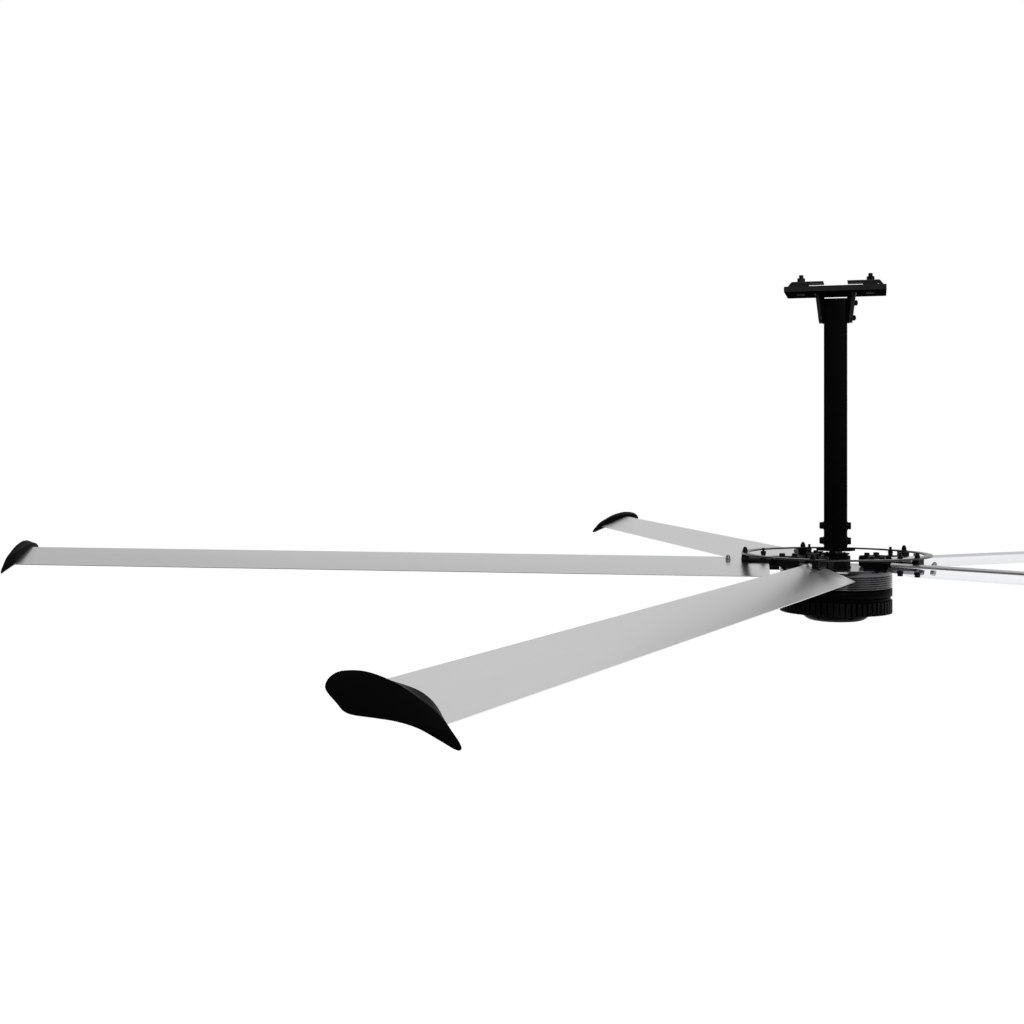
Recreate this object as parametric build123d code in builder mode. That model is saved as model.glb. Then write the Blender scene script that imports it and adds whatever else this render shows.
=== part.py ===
from build123d import *
import os
from math import cos, pi, radians, sin, sqrt, tan

os.makedirs("parts", exist_ok=True)

# Driving dimensions, in millimetres. The origin is the centre of the mounting plate's top face,
# where the roof beam's flange rests. Z points up, and X runs along the line of the two beam clamps.

# Fits
bolt_play = 0.5          # a bolt in its hole, on the radius
slip_gap = 0.3           # between pieces that slide into each other
bearing_fit = 0.05       # a ring on the shaft or in its housing, on the radius
running_gap = 2.0        # between the turning rotor and the fixed housing below it
air_gap = 1.0            # between the stator's teeth and the magnets

# Mounting plate and beam clamps
plate_width = 340.0
plate_depth = 240.0
plate_thick = 18.0
plate_corner = 10.0
slot_width = 28.0
slot_length = 54.0
clamp_spacing = 234.0
clamp_throat = 19.0
clamp_thick = 5.0
clamp_width = 90.0
clamp_inner_gap = 80.0
clamp_outer_length = 46.0
clamp_heel_run = 20.0
clamp_block_length = 50.0
clamp_block_margin = 18.0
heel_groove_depth = 1.0
heel_groove_inner_play = 3.0

# Fasteners: shank diameter, width across flats, head height, nut height, washer diameter and thickness
m16_shank, m16_flats, m16_head, m16_nut, m16_washer, m16_washer_thick = 16.0, 24.0, 10.0, 13.0, 30.0, 3.0
m12_shank, m12_flats, m12_head, m12_nut, m12_washer, m12_washer_thick = 12.0, 18.0, 7.5, 10.8, 24.0, 2.5
m12_key = 8.0
m10_shank, m10_flats, m10_head, m10_nut, m10_washer, m10_washer_thick = 10.0, 16.0, 8.0, 8.0, 20.0, 2.0
m5_shank, m5_head_diameter, m5_head = 5.0, 9.5, 3.0
lock_nut_height = 13.0
cap_nut_height = 19.0
dome_collar = 1.0
stud_end = 11.0
stud_chamfer = 1.5
bolt_end = 2.0

# Yoke ears below the plate
ear_thick = 11.0
ear_top_spread = 114.0
ear_bottom_spread = 90.0
ear_height = 101.0
ear_width = 70.0
ear_corner = 14.0
ear_bolt_drop = 33.0
ear_bolt_spacing = 52.0
countersink_diameter = 24.0
spot_face_diameter = 26.0
spot_face_depth = 0.5

# Down tube, spigot and shaft
tube_size = 78.0
cap_gap = 12.0           # between the spigot's flange and the turning cap below it
tube_wall = 5.0
tube_corner = 8.0
tube_drop = 36.5
tube_length = 867.0
tube_bolt_rise = 24.0
tube_bolt_spacing = 52.5
spigot_height = 100.0
spigot_reveal = 3.5
spigot_flange_diameter = 132.0
spigot_flange_thick = 3.0
shaft_diameter = 45.0
shaft_shoulder_diameter = 56.0
shaft_bore = 16.0

# Motor
motor_diameter = 380.0
shell_top_thick = 8.0
shell_wall = 7.0
rib_height = 7.0
rib_start_drop = 21.0    # the plain wall above the ribs
rib_pitch = 7.4
rib_thick = 3.8
rib_count = 6
band_height = 26.0
rotor_height = 95.0
neck_height = 12.0
neck_inset = 6.0
column_diameter = 100.0
column_height = 31.0
cap_diameter = 94.0
cap_groove_diameter = 84.0
cap_height = 18.0
cap_relief = 1.0
cap_lower_disc = 9.0
cap_upper_disc = 4.0
bearing_diameter = 80.0
bearing_width = 16.0
magnet_thick = 8.0
magnet_height = 40.0
magnet_count = 28
magnet_fill = 0.82
core_height = 40.0
core_depth = 41.7
tooth_count = 24
tooth_width = 14.0
tooth_tip_thick = 6.0
tooth_gap = 8.7
yoke_ring_thick = 14.0
coil_thick = 7.0
carrier_thick = 12.0
carrier_rim = 10.0
carrier_hole_count = 6
fin_height = 45.0
fin_count = 60
fin_depth = 14.0
fin_thick = 13.0
fin_root = 1.0
housing_wall = 6.0
housing_floor = 8.0
board_size = 210.0
board_bore = 90.0
board_thick = 2.0
board_lift = 12.0
board_post_diameter = 8.0
board_post_inset = 10.0
board_chip_length = 24.0
board_chip_width = 18.0
board_chip_height = 10.0
board_chip_corner = 4.0
end_cap_diameter = 236.0
end_cap_height = 30.0
end_cap_flat_diameter = 170.0
end_cap_flange = 4.0
end_cap_wall = 3.0
end_cap_bulge = 5.0
end_cap_screw_count = 6
shaft_nut_flats = 55.0
shaft_nut_height = 12.0

# Rotor arms and blades
blade_count = 5
first_blade_angle = 41.7
blade_pitch = 20.4
pitch_axis_rise = 14.0
root_block_start = 124.0
root_block_end = 200.0
root_block_width = 50.0
arm_width = 45.0
arm_thick = 6.0
arm_rise = 35.0
arm_flat_end = 205.0
arm_overhang = 13.0
arm_end_corner = 9.0
strap_heel = 44.0
strap_overhang = 25.0
strap_thick = 5.0
inner_arm_bolt_radius = 140.0
outer_arm_bolt_radius = 182.0
outer_arm_bolt_grip = 24.0
root_bolt_radius = 247.0
ring_bolt_radius = 310.0
outer_bolt_radius = 369.0
root_stud_rise = 49.0     # the long studs' tops over the pitch axis
blade_start = 228.0
blade_end = 3036.0
blade_wall = 2.5
nose_radius = 8.25
nose_position = -22.0
pad_height = 7.0
pad_end = 26.0
belly_end = 50.0
tail_position = 128.0
tail_height = 4.0
tail_thick = 2.4
web_positions = (57.0, 95.0)
tongue_front = -16.0
tongue_back = 50.0
tongue_overhang = 31.0
tongue_root = 6.0         # how deep the tongue is let into the root block
ring_width = 26.0
ring_thick = 5.0
ring_rise = 48.0
hole_reach = 60.0        # long enough to drill any hole through the blade roots
wedge_length = 24.0
wedge_width = 36.0
taper_washer_diameter = 22.0
taper_washer_edge = 1.0
nut_sleeve_diameter = 16.0
nut_sleeve_height = 9.0
winglet_flare = 30.0
winglet_plug_depth = 30.0
winglet_screw_spacing = 26.0
winglet_screw_reach = 10.0

# Levels and places worked out from the dimensions above
ear_bottom = -plate_thick - ear_height
ear_bolt_heights = (-plate_thick - ear_bolt_drop, -plate_thick - ear_bolt_drop - ear_bolt_spacing)
tube_top = -tube_drop
tube_bottom = tube_top - tube_length
tube_bolt_heights = (tube_bottom + tube_bolt_rise + tube_bolt_spacing, tube_bottom + tube_bolt_rise)
spigot_size = tube_size - 2 * tube_wall - 2 * slip_gap
flange_top = tube_bottom - spigot_reveal
flange_bottom = flange_top - spigot_flange_thick
spigot_top = tube_bottom + spigot_height
upper_cap_top = flange_bottom - cap_gap
column_top = upper_cap_top - cap_height
motor_top = column_top - column_height
pitch_axis_height = motor_top + pitch_axis_rise
arm_top = motor_top + arm_rise
ring_top = motor_top + ring_rise
arm_twist_end = blade_start
rotor_bottom = motor_top - rotor_height
housing_top = rotor_bottom - running_gap
fin_top = housing_top - neck_height
housing_bottom = fin_top - fin_height
end_cap_bottom = housing_bottom - end_cap_height
shell_radius = motor_diameter / 2 - rib_height
shell_inner_radius = shell_radius - shell_wall
magnet_outer_radius = shell_inner_radius - slip_gap
magnet_inner_radius = magnet_outer_radius - magnet_thick
core_radius = magnet_inner_radius - air_gap
shell_ceiling = motor_top - shell_top_thick
core_top = (shell_ceiling + housing_top + core_height) / 2
core_bottom = core_top - core_height
housing_radius = motor_diameter / 2 - fin_depth
ring_bottom = ring_top - ring_thick
end_cap_radius = end_cap_diameter / 2
end_cap_flat_radius = end_cap_flat_diameter / 2
screw_circle = end_cap_radius - m5_head_diameter
dish_radius = screw_circle - m5_head_diameter
screw_seat = housing_bottom - end_cap_flange
screw_reach = 0.75 * housing_floor
blade_angles = [first_blade_angle + index * 360 / blade_count for index in range(blade_count)]
belly_height = pad_height - 2 * nose_radius
strap_face = belly_height - strap_thick
arm_face = pad_height + arm_thick
bolt_lean = tan(radians(blade_pitch))
taper_rise = taper_washer_diameter / 2 * bolt_lean + taper_washer_edge
lower_seat = pitch_axis_height + strap_face / cos(radians(blade_pitch)) - taper_rise
taper_top = pitch_axis_height + arm_face / cos(radians(blade_pitch)) + taper_rise
upper_seat = taper_top + nut_sleeve_height
root_stud_top = pitch_axis_height + root_stud_rise
clamp_bolt_x = clamp_spacing / 2


def pitch_plane(angle):
    """The blade's pitched plane: X outwards along the blade, Y from nose to tail, Z up through it."""
    outward = Vector(cos(radians(angle)), sin(radians(angle)), 0)
    tail_side = Vector(-sin(radians(angle)), cos(radians(angle)), 0)
    tilt = radians(blade_pitch)
    normal = tail_side * sin(tilt) + Vector(0, 0, 1) * cos(tilt)
    return Plane(origin=(0, 0, pitch_axis_height), x_dir=outward, z_dir=normal)


def section_plane(angle, radius):
    """The plane across the blade at a radius: X from nose to tail, Y up through the blade."""
    pitched = pitch_plane(angle)
    origin = pitched.origin + pitched.x_dir * radius
    return Plane(origin=origin, x_dir=pitched.y_dir, z_dir=pitched.x_dir)


def pitched_spot(angle, radius, height):
    """A plane square to the pitched plane's bolts, at a radius and a height above the pitched plane."""
    pitched = pitch_plane(angle)
    origin = pitched.origin + pitched.x_dir * radius + pitched.z_dir * height
    return Plane(origin=origin, x_dir=pitched.x_dir, z_dir=pitched.z_dir)


def level_spot(angle, radius, height):
    """A level plane at a radius and a height, with X outwards along the blade's direction."""
    outward = Vector(cos(radians(angle)), sin(radians(angle)), 0)
    return Plane(origin=outward * radius + Vector(0, 0, height), x_dir=outward, z_dir=(0, 0, 1))


def across_plane(angle, radius):
    """The upright plane across an arm at a radius: X sideways, Y up."""
    outward = Vector(cos(radians(angle)), sin(radians(angle)), 0)
    sideways = Vector(-sin(radians(angle)), cos(radians(angle)), 0)
    return Plane(origin=outward * radius, x_dir=sideways, z_dir=outward)


def pitched_rise(through, sideways):
    """How high a face of the pitched plane stands over the axis height, at a distance sideways."""
    tilt = radians(blade_pitch)
    return through / cos(tilt) - sideways * tan(tilt)


def airfoil(grow=0.0):
    """The blade's section, grown outwards or shrunk inwards, in the section plane."""
    with BuildSketch() as section:
        with BuildLine():
            top = Line((nose_position, pad_height), (pad_end, pad_height))
            back = TangentArc(top @ 1, (tail_position, tail_height), tangent=(1, 0))
            edge = Line(back @ 1, (tail_position, tail_height - tail_thick))
            belly = Line((nose_position, belly_height), (belly_end, belly_height))
            TangentArc(belly @ 1, edge @ 1, tangent=(1, 0))
            ThreePointArc(
                belly @ 0,
                (nose_position - nose_radius, pad_height - nose_radius),
                top @ 0,
            )
        make_face()
        if grow:
            offset(amount=grow, kind=Kind.INTERSECTION)
    return section.sketch


def winglet_rim():
    """The winglet's outer rim in the section plane: a deep round front that thins to a tail tip."""
    with BuildSketch() as outline:
        with BuildLine():
            Spline(
                (-92, -22), (-86, -3), (-66, 15), (-23, 32.4), (34.5, 38.2), (84, 32.5), (122, 25),
                (151, 11), (172, -1), (179.5, -9.5), (171, -15), (140, -14), (97, -13.4), (56, -20.7),
                (17, -33), (-23, -46.5), (-43, -49), (-60, -42.5), (-85, -32.5),
                periodic=True,
            )
        make_face()
    return outline.sketch


def winglet_root():
    """The winglet's outline at the blade's end, drawn in at the tail and the belly from the rim."""
    with BuildSketch() as outline:
        with BuildLine():
            Spline(
                (-86, -22), (-73, 0), (-38, 17), (12, 27.5), (56.6, 34), (86, 31), (109.4, 20),
                (126, 4), (120, -3), (95, -7), (50, -16), (-20, -40), (-44, -43), (-60, -38), (-79, -31),
                periodic=True,
            )
        make_face()
    return outline.sketch


def winglet_plug():
    """The plug's section, one clearance inside the blade's front cell."""
    with BuildSketch() as plug:
        add(airfoil(grow=-blade_wall - slip_gap))
        with Locations((web_positions[0] - blade_wall / 2 - slip_gap, 0)):
            Rectangle(tail_position, hole_reach, align=(Align.MIN, Align.CENTER), mode=Mode.SUBTRACT)
    return plug.sketch


def blade_cells():
    """The blade's three hollow cells, between its wall and its two webs."""
    with BuildSketch() as cells:
        add(airfoil(grow=-blade_wall))
        with Locations(*((position, 0) for position in web_positions)):
            Rectangle(blade_wall, hole_reach, mode=Mode.SUBTRACT)
    return cells.sketch


def bar_outline(start, end):
    """A flat bar's outline along the blade, one width all the way, with both ends rounded."""
    with BuildSketch() as outline:
        with Locations(((start + end) / 2, 0)):
            SlotOverall(end - start, arm_width)
    return outline.sketch


# Fastener patterns, each made about its own seat

up = (Align.CENTER, Align.CENTER, Align.MIN)
down = (Align.CENTER, Align.CENTER, Align.MAX)


def arm_bolt(length):
    """A flanged hex bolt that stands on an arm, with its shank below the seat."""
    with BuildPart() as bolt:
        Cylinder(m12_washer / 2, m12_washer_thick, align=up)
        with BuildSketch(Plane.XY.offset(m12_washer_thick)):
            RegularPolygon(m12_flats / 2, 6, major_radius=False)
        extrude(amount=m12_head)
        Cylinder(m12_shank / 2, length, align=down)
    return bolt.part


def under_bolt(length):
    """A flanged hex bolt with its head below its seat, and its shank up through it."""
    with BuildPart() as bolt:
        Cylinder(m10_washer / 2, m10_washer_thick, align=down)
        with BuildSketch(Plane.XY.offset(-m10_washer_thick)):
            RegularPolygon(m10_flats / 2, 6, major_radius=False)
        extrude(amount=-m10_head)
        Cylinder(m10_shank / 2, length, align=up)
    return bolt.part


nut_depth = m10_washer_thick + m10_nut
dome_radius = m10_flats / 2 - slip_gap
dome_shoulder = nut_depth + dome_collar
dome_rise = cap_nut_height - dome_shoulder
dome_arc_radius = (dome_radius ** 2 + dome_rise ** 2) / (2 * dome_rise)

with BuildPart() as cap_nut:
    Cylinder(m10_washer / 2, m10_washer_thick, align=up)
    with BuildSketch(Plane.XY.offset(m10_washer_thick)):
        RegularPolygon(m10_flats / 2, 6, major_radius=False)
    extrude(amount=m10_nut)
    with BuildSketch(Plane.XZ):
        with BuildLine():
            side_line = Polyline(
                (0, m10_washer_thick),
                (dome_radius, m10_washer_thick),
                (dome_radius, dome_shoulder),
            )
            dome = RadiusArc(side_line @ 1, (0, cap_nut_height), -dome_arc_radius)
            Line(dome @ 1, side_line @ 0)
        make_face()
    revolve(axis=Axis.Z)
    Cylinder(m10_shank / 2 + slip_gap, nut_depth, align=up, mode=Mode.SUBTRACT)

with BuildPart() as flange_nut:
    Cylinder(m10_washer / 2, m10_washer_thick, align=up)
    with BuildSketch(Plane.XY.offset(m10_washer_thick)):
        RegularPolygon(m10_flats / 2, 6, major_radius=False)
    extrude(amount=m10_nut)
    Cylinder(m10_shank / 2 + slip_gap, nut_depth, align=up, mode=Mode.SUBTRACT)


# Mounting plate: two slots for the studs' ends, a threaded block welded on top over each slot,
# and a shallow groove that keeps each clamp's heel in its place

clamp_inner_x = clamp_inner_gap / 2
clamp_heel_x = clamp_bolt_x + clamp_outer_length
groove_start = clamp_heel_x - heel_groove_inner_play
groove_end = clamp_heel_x + clamp_thick + bolt_play

with BuildPart() as mounting_plate:
    with BuildSketch(Plane.XY.offset(-plate_thick)):
        RectangleRounded(plate_width, plate_depth, plate_corner)
        with GridLocations(clamp_spacing, 0, 2, 1):
            SlotOverall(slot_length, slot_width, rotation=90, mode=Mode.SUBTRACT)
    extrude(amount=plate_thick)
    with BuildSketch():
        with GridLocations(clamp_spacing, 0, 2, 1):
            Rectangle(clamp_block_length, slot_length + 2 * clamp_block_margin)
            Circle(m16_shank / 2 + bolt_play, mode=Mode.SUBTRACT)
    extrude(amount=clamp_throat)
    with BuildSketch():
        with GridLocations(groove_start + groove_end, 0, 2, 1):
            Rectangle(groove_end - groove_start, clamp_width + 2 * bolt_play)
    extrude(amount=-heel_groove_depth, mode=Mode.SUBTRACT)
mounting_plate.part.label = "mounting_plate"
export_step(mounting_plate.part, "parts/mounting_plate.step")

# Beam clamps: a flat jaw over the flange, bent down at its outer end to a heel on the plate

for side, label in ((-1, "beam_clamp_left"), (1, "beam_clamp_right")):
    with BuildPart() as beam_clamp:
        with BuildSketch(Plane.XZ.offset(-clamp_width / 2)):
            with BuildLine():
                Polyline(
                    (side * clamp_inner_x, clamp_throat),
                    (side * clamp_inner_x, clamp_throat + clamp_thick),
                    (side * (clamp_heel_x - clamp_heel_run), clamp_throat + clamp_thick),
                    (side * (clamp_heel_x + clamp_thick), -heel_groove_depth),
                    (side * clamp_heel_x, -heel_groove_depth),
                    (side * (clamp_heel_x - clamp_heel_run), clamp_throat),
                    close=True,
                )
            make_face()
        extrude(amount=clamp_width)
        with Locations((side * clamp_bolt_x, 0, clamp_throat)):
            Cylinder(m16_shank / 2 + bolt_play, 4 * clamp_thick, mode=Mode.SUBTRACT)
    beam_clamp.part.label = label
    export_step(beam_clamp.part, f"parts/{label}.step")

# Clamp studs, nuts and the plain washers of this size

clamp_nut_seat = clamp_throat + clamp_thick + m16_washer_thick
stud_length = plate_thick / 2 + clamp_nut_seat + m16_nut + stud_end

with BuildPart() as clamp_studs:
    with BuildSketch(Plane.XY.offset(-plate_thick / 2)):
        with GridLocations(clamp_spacing, 0, 2, 1):
            Circle(m16_shank / 2)
    extrude(amount=stud_length)
    chamfer(clamp_studs.edges().filter_by(GeomType.CIRCLE).group_by(Axis.Z)[-1], stud_chamfer)
clamp_studs.part.label = "clamp_studs"
export_step(clamp_studs.part, "parts/clamp_studs.step")

with BuildPart() as clamp_nuts:
    with BuildSketch(Plane.XY.offset(clamp_nut_seat)):
        with GridLocations(clamp_spacing, 0, 2, 1):
            RegularPolygon(m16_flats / 2, 6, major_radius=False)
            Circle(m16_shank / 2 + slip_gap, mode=Mode.SUBTRACT)
    extrude(amount=m16_nut)
clamp_nuts.part.label = "clamp_nuts"
export_step(clamp_nuts.part, "parts/clamp_nuts.step")

with BuildPart() as plain_washers:
    with BuildSketch(Plane.XY.offset(clamp_throat + clamp_thick)):
        with GridLocations(clamp_spacing, 0, 2, 1):
            Circle(m16_washer / 2)
            Circle(m16_shank / 2 + bolt_play, mode=Mode.SUBTRACT)
    extrude(amount=m16_washer_thick)
    for side in (-1, 1):
        with BuildSketch(Plane.YZ.offset(side * tube_size / 2)):
            with Locations(*((0, height) for height in tube_bolt_heights)):
                Circle(m16_washer / 2)
                Circle(m16_shank / 2 + bolt_play, mode=Mode.SUBTRACT)
        extrude(amount=side * m16_washer_thick)
plain_washers.part.label = "plain_washers"
export_step(plain_washers.part, "parts/plain_washers.step")

# Yoke ears: plates that lean inwards from the mounting plate to the tube

ear_lean = (ear_top_spread - ear_bottom_spread) / 2 / ear_height
countersink_depth = (countersink_diameter - m12_shank) / 2


def ear_inner_x(height):
    """The inner face of the right ear at a height."""
    return ear_top_spread / 2 + (height + plate_thick) * ear_lean


def ear_outer_x(height):
    """The outer face of the right ear at a height."""
    return ear_inner_x(height) + ear_thick


def ear_seat_x(height):
    """The flat seat for a bolt head or nut, sunk so that its whole spot face is cut."""
    return ear_outer_x(height) - spot_face_diameter / 2 * ear_lean - spot_face_depth


for side, label in ((-1, "yoke_ear_left"), (1, "yoke_ear_right")):
    with BuildPart() as yoke_ear:
        with BuildSketch(Plane.XZ.offset(-ear_width / 2)):
            with BuildLine():
                Polyline(
                    (side * ear_inner_x(-plate_thick), -plate_thick),
                    (side * ear_outer_x(-plate_thick), -plate_thick),
                    (side * ear_outer_x(ear_bottom), ear_bottom),
                    (side * ear_inner_x(ear_bottom), ear_bottom),
                    close=True,
                )
            make_face()
        extrude(amount=ear_width)
        lower_edges = yoke_ear.edges().filter_by(
            lambda edge: abs(edge.center().Z - ear_bottom) < 1 and abs(edge.center().Y) > ear_width / 2 - 1
        )
        chamfer(lower_edges, ear_corner)
        for height in ear_bolt_heights:
            with BuildSketch(Plane.YZ):
                with Locations((0, height)):
                    Circle(m12_shank / 2 + bolt_play)
            extrude(amount=side * plate_width, mode=Mode.SUBTRACT)
            if side > 0:
                with BuildSketch(Plane.YZ.offset(ear_seat_x(height))):
                    with Locations((0, height)):
                        Circle(spot_face_diameter / 2)
                extrude(amount=ear_thick, mode=Mode.SUBTRACT)
            else:
                with BuildSketch(Plane.YZ.offset(-ear_seat_x(height))):
                    with Locations((0, height)):
                        Circle(countersink_diameter / 2 + bolt_play)
                extrude(amount=-ear_thick, mode=Mode.SUBTRACT)
                with Locations(Location((-ear_seat_x(height), 0, height), (0, 90, 0))):
                    Cone(
                        countersink_diameter / 2 + bolt_play,
                        m12_shank / 2 + bolt_play,
                        countersink_depth,
                        align=up,
                        mode=Mode.SUBTRACT,
                    )
    yoke_ear.part.label = label
    export_step(yoke_ear.part, f"parts/{label}.step")

# Yoke bolts: flush heads in the left ear, nuts on the right ear's spot faces

with BuildPart() as yoke_bolts:
    for height in ear_bolt_heights:
        seat_x = ear_seat_x(height)
        with Locations(Location((-seat_x, 0, height), (0, 90, 0))):
            Cone(
                countersink_diameter / 2,
                m12_shank / 2,
                countersink_depth,
                align=up,
            )
            Cylinder(
                m12_shank / 2,
                2 * seat_x + m12_nut + bolt_end,
                align=up,
            )
        with BuildSketch(Plane.YZ.offset(-seat_x)):
            with Locations((0, height)):
                RegularPolygon(m12_key / 2, 6, major_radius=False)
        extrude(amount=m12_key / 2, mode=Mode.SUBTRACT)
yoke_bolts.part.label = "yoke_bolts"
export_step(yoke_bolts.part, "parts/yoke_bolts.step")

with BuildPart() as yoke_nuts:
    for height in ear_bolt_heights:
        with BuildSketch(Plane.YZ.offset(ear_seat_x(height))):
            with Locations((0, height)):
                RegularPolygon(m12_flats / 2, 6, major_radius=False)
                Circle(m12_shank / 2 + slip_gap, mode=Mode.SUBTRACT)
        extrude(amount=m12_nut)
yoke_nuts.part.label = "yoke_nuts"
export_step(yoke_nuts.part, "parts/yoke_nuts.step")

# Packers that fill the wedge between each ear and the tube, drilled for the bolts

with BuildPart() as yoke_packers:
    for side in (-1, 1):
        with BuildSketch(Plane.XZ.offset(-ear_width / 2)):
            with BuildLine():
                Polyline(
                    (side * tube_size / 2, -plate_thick),
                    (side * ear_inner_x(-plate_thick), -plate_thick),
                    (side * ear_inner_x(ear_bottom), ear_bottom),
                    (side * tube_size / 2, ear_bottom),
                    close=True,
                )
            make_face()
        extrude(amount=ear_width)
    with BuildSketch(Plane.YZ):
        with Locations(*((0, height) for height in ear_bolt_heights)):
            Circle(m12_shank / 2 + bolt_play)
    extrude(amount=plate_width / 2, both=True, mode=Mode.SUBTRACT)
yoke_packers.part.label = "yoke_packers"
export_step(yoke_packers.part, "parts/yoke_packers.step")

# Down tube: square tube, cross-drilled at both ends

with BuildPart() as down_tube:
    with BuildSketch(Plane.XY.offset(tube_bottom)):
        RectangleRounded(tube_size, tube_size, tube_corner)
        RectangleRounded(
            tube_size - 2 * tube_wall,
            tube_size - 2 * tube_wall,
            tube_corner - tube_wall,
            mode=Mode.SUBTRACT,
        )
    extrude(amount=tube_length)
    with BuildSketch(Plane.YZ):
        with Locations(*((0, height) for height in ear_bolt_heights)):
            Circle(m12_shank / 2 + bolt_play)
        with Locations(*((0, height) for height in tube_bolt_heights)):
            Circle(m16_shank / 2 + bolt_play)
    extrude(amount=tube_size, both=True, mode=Mode.SUBTRACT)
down_tube.part.label = "down_tube"
export_step(down_tube.part, "parts/down_tube.step")

# Spigot: a square block that fills the tube's lower end, welded to a round flange, bored for the shaft

with BuildPart() as tube_spigot:
    with BuildSketch(Plane.XY.offset(flange_top)):
        RectangleRounded(spigot_size, spigot_size, tube_corner - tube_wall)
    extrude(amount=spigot_top - flange_top)
    with BuildSketch(Plane.XY.offset(flange_bottom)):
        Circle(spigot_flange_diameter / 2)
    extrude(amount=spigot_flange_thick)
    with BuildSketch(Plane.XY.offset(flange_bottom)):
        Circle(shaft_diameter / 2 + bearing_fit)
    extrude(amount=spigot_top - flange_bottom, mode=Mode.SUBTRACT)
    with BuildSketch(Plane.YZ):
        with Locations(*((0, height) for height in tube_bolt_heights)):
            Circle(m16_shank / 2 + bolt_play)
    extrude(amount=tube_size, both=True, mode=Mode.SUBTRACT)
tube_spigot.part.label = "tube_spigot"
export_step(tube_spigot.part, "parts/tube_spigot.step")

# Tube bolts: heads on the right, lock nuts on the left

washer_face_x = tube_size / 2 + m16_washer_thick

with BuildPart() as tube_bolts:
    with BuildSketch(Plane.YZ.offset(washer_face_x)):
        with Locations(*((0, height) for height in tube_bolt_heights)):
            RegularPolygon(m16_flats / 2, 6, major_radius=False)
    extrude(amount=m16_head)
    with BuildSketch(Plane.YZ.offset(washer_face_x)):
        with Locations(*((0, height) for height in tube_bolt_heights)):
            Circle(m16_shank / 2)
    extrude(amount=-(2 * washer_face_x + lock_nut_height - bolt_end))
tube_bolts.part.label = "tube_bolts"
export_step(tube_bolts.part, "parts/tube_bolts.step")

with BuildPart() as tube_nuts:
    with BuildSketch(Plane.YZ.offset(-washer_face_x)):
        with Locations(*((0, height) for height in tube_bolt_heights)):
            RegularPolygon(m16_flats / 2, 6, major_radius=False)
            Circle(m16_shank / 2 + slip_gap, mode=Mode.SUBTRACT)
    extrude(amount=-lock_nut_height)
tube_nuts.part.label = "tube_nuts"
export_step(tube_nuts.part, "parts/tube_nuts.step")

# Shaft: hollow and still, pinned in the spigot by the tube bolts, with a shoulder below the bearings

bearing_top = column_top - bearing_width
lower_bearing_bottom = core_top + running_gap
shaft_end = housing_bottom - shaft_nut_height - bolt_end

with BuildPart() as motor_shaft:
    with BuildSketch(Plane.XY.offset(spigot_top)):
        Circle(shaft_diameter / 2)
    extrude(amount=-(spigot_top - shaft_end))
    with BuildSketch(Plane.XY.offset(lower_bearing_bottom)):
        Circle(shaft_shoulder_diameter / 2)
    extrude(amount=-(lower_bearing_bottom - fin_top))
    with BuildSketch(Plane.XY.offset(spigot_top)):
        Circle(shaft_bore / 2)
    extrude(amount=-(spigot_top - shaft_end), mode=Mode.SUBTRACT)
    with BuildSketch(Plane.YZ):
        with Locations(*((0, height) for height in tube_bolt_heights)):
            Circle(m16_shank / 2 + bolt_play)
    extrude(amount=tube_size, both=True, mode=Mode.SUBTRACT)
motor_shaft.part.label = "motor_shaft"
export_step(motor_shaft.part, "parts/motor_shaft.step")

# Two bearings in the rotor's column: their inner rings stay with the shaft, the outer rings turn

bearing_middle = (shaft_diameter + bearing_diameter) / 4
bearing_bottoms = (bearing_top, lower_bearing_bottom)

with BuildPart() as bearing_inner_rings:
    for bottom in bearing_bottoms:
        with BuildSketch(Plane.XY.offset(bottom)):
            Circle(bearing_middle - slip_gap / 2)
            Circle(shaft_diameter / 2 + bearing_fit, mode=Mode.SUBTRACT)
        extrude(amount=bearing_width)
bearing_inner_rings.part.label = "bearing_inner_rings"
export_step(bearing_inner_rings.part, "parts/bearing_inner_rings.step")

with BuildPart() as bearing_outer_rings:
    for bottom in bearing_bottoms:
        with BuildSketch(Plane.XY.offset(bottom)):
            Circle(bearing_diameter / 2)
            Circle(bearing_middle + slip_gap / 2, mode=Mode.SUBTRACT)
        extrude(amount=bearing_width)
bearing_outer_rings.part.label = "bearing_outer_rings"
export_step(bearing_outer_rings.part, "parts/bearing_outer_rings.step")

with BuildPart() as bearing_housing:
    with BuildSketch(Plane.XY.offset(motor_top)):
        Circle(column_diameter / 2)
        Circle(bearing_diameter / 2 + bearing_fit, mode=Mode.SUBTRACT)
    extrude(amount=column_height)
bearing_housing.part.label = "bearing_housing"
export_step(bearing_housing.part, "parts/bearing_housing.step")

# The cap on the column: two discs with a groove between them, resting on the upper bearing

with BuildPart() as bearing_cap:
    with BuildSketch(Plane.XY.offset(column_top)):
        Circle(column_diameter / 2)
    extrude(amount=cap_lower_disc)
    with BuildSketch(Plane.XY.offset(column_top)):
        Circle(cap_groove_diameter / 2)
    extrude(amount=cap_height)
    with BuildSketch(Plane.XY.offset(upper_cap_top)):
        Circle(cap_diameter / 2)
    extrude(amount=-cap_upper_disc)
    with BuildSketch(Plane.XY.offset(column_top)):
        Circle(shaft_diameter / 2 + running_gap)
    extrude(amount=cap_height, mode=Mode.SUBTRACT)
    with BuildSketch(Plane.XY.offset(column_top)):
        Circle(bearing_middle + cap_relief)
    extrude(amount=cap_relief, mode=Mode.SUBTRACT)
bearing_cap.part.label = "bearing_cap"
export_step(bearing_cap.part, "parts/bearing_cap.step")

# Rotor shell: an upturned cup with level ribs round its wall, and a hub inside for the lower bearing

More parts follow.
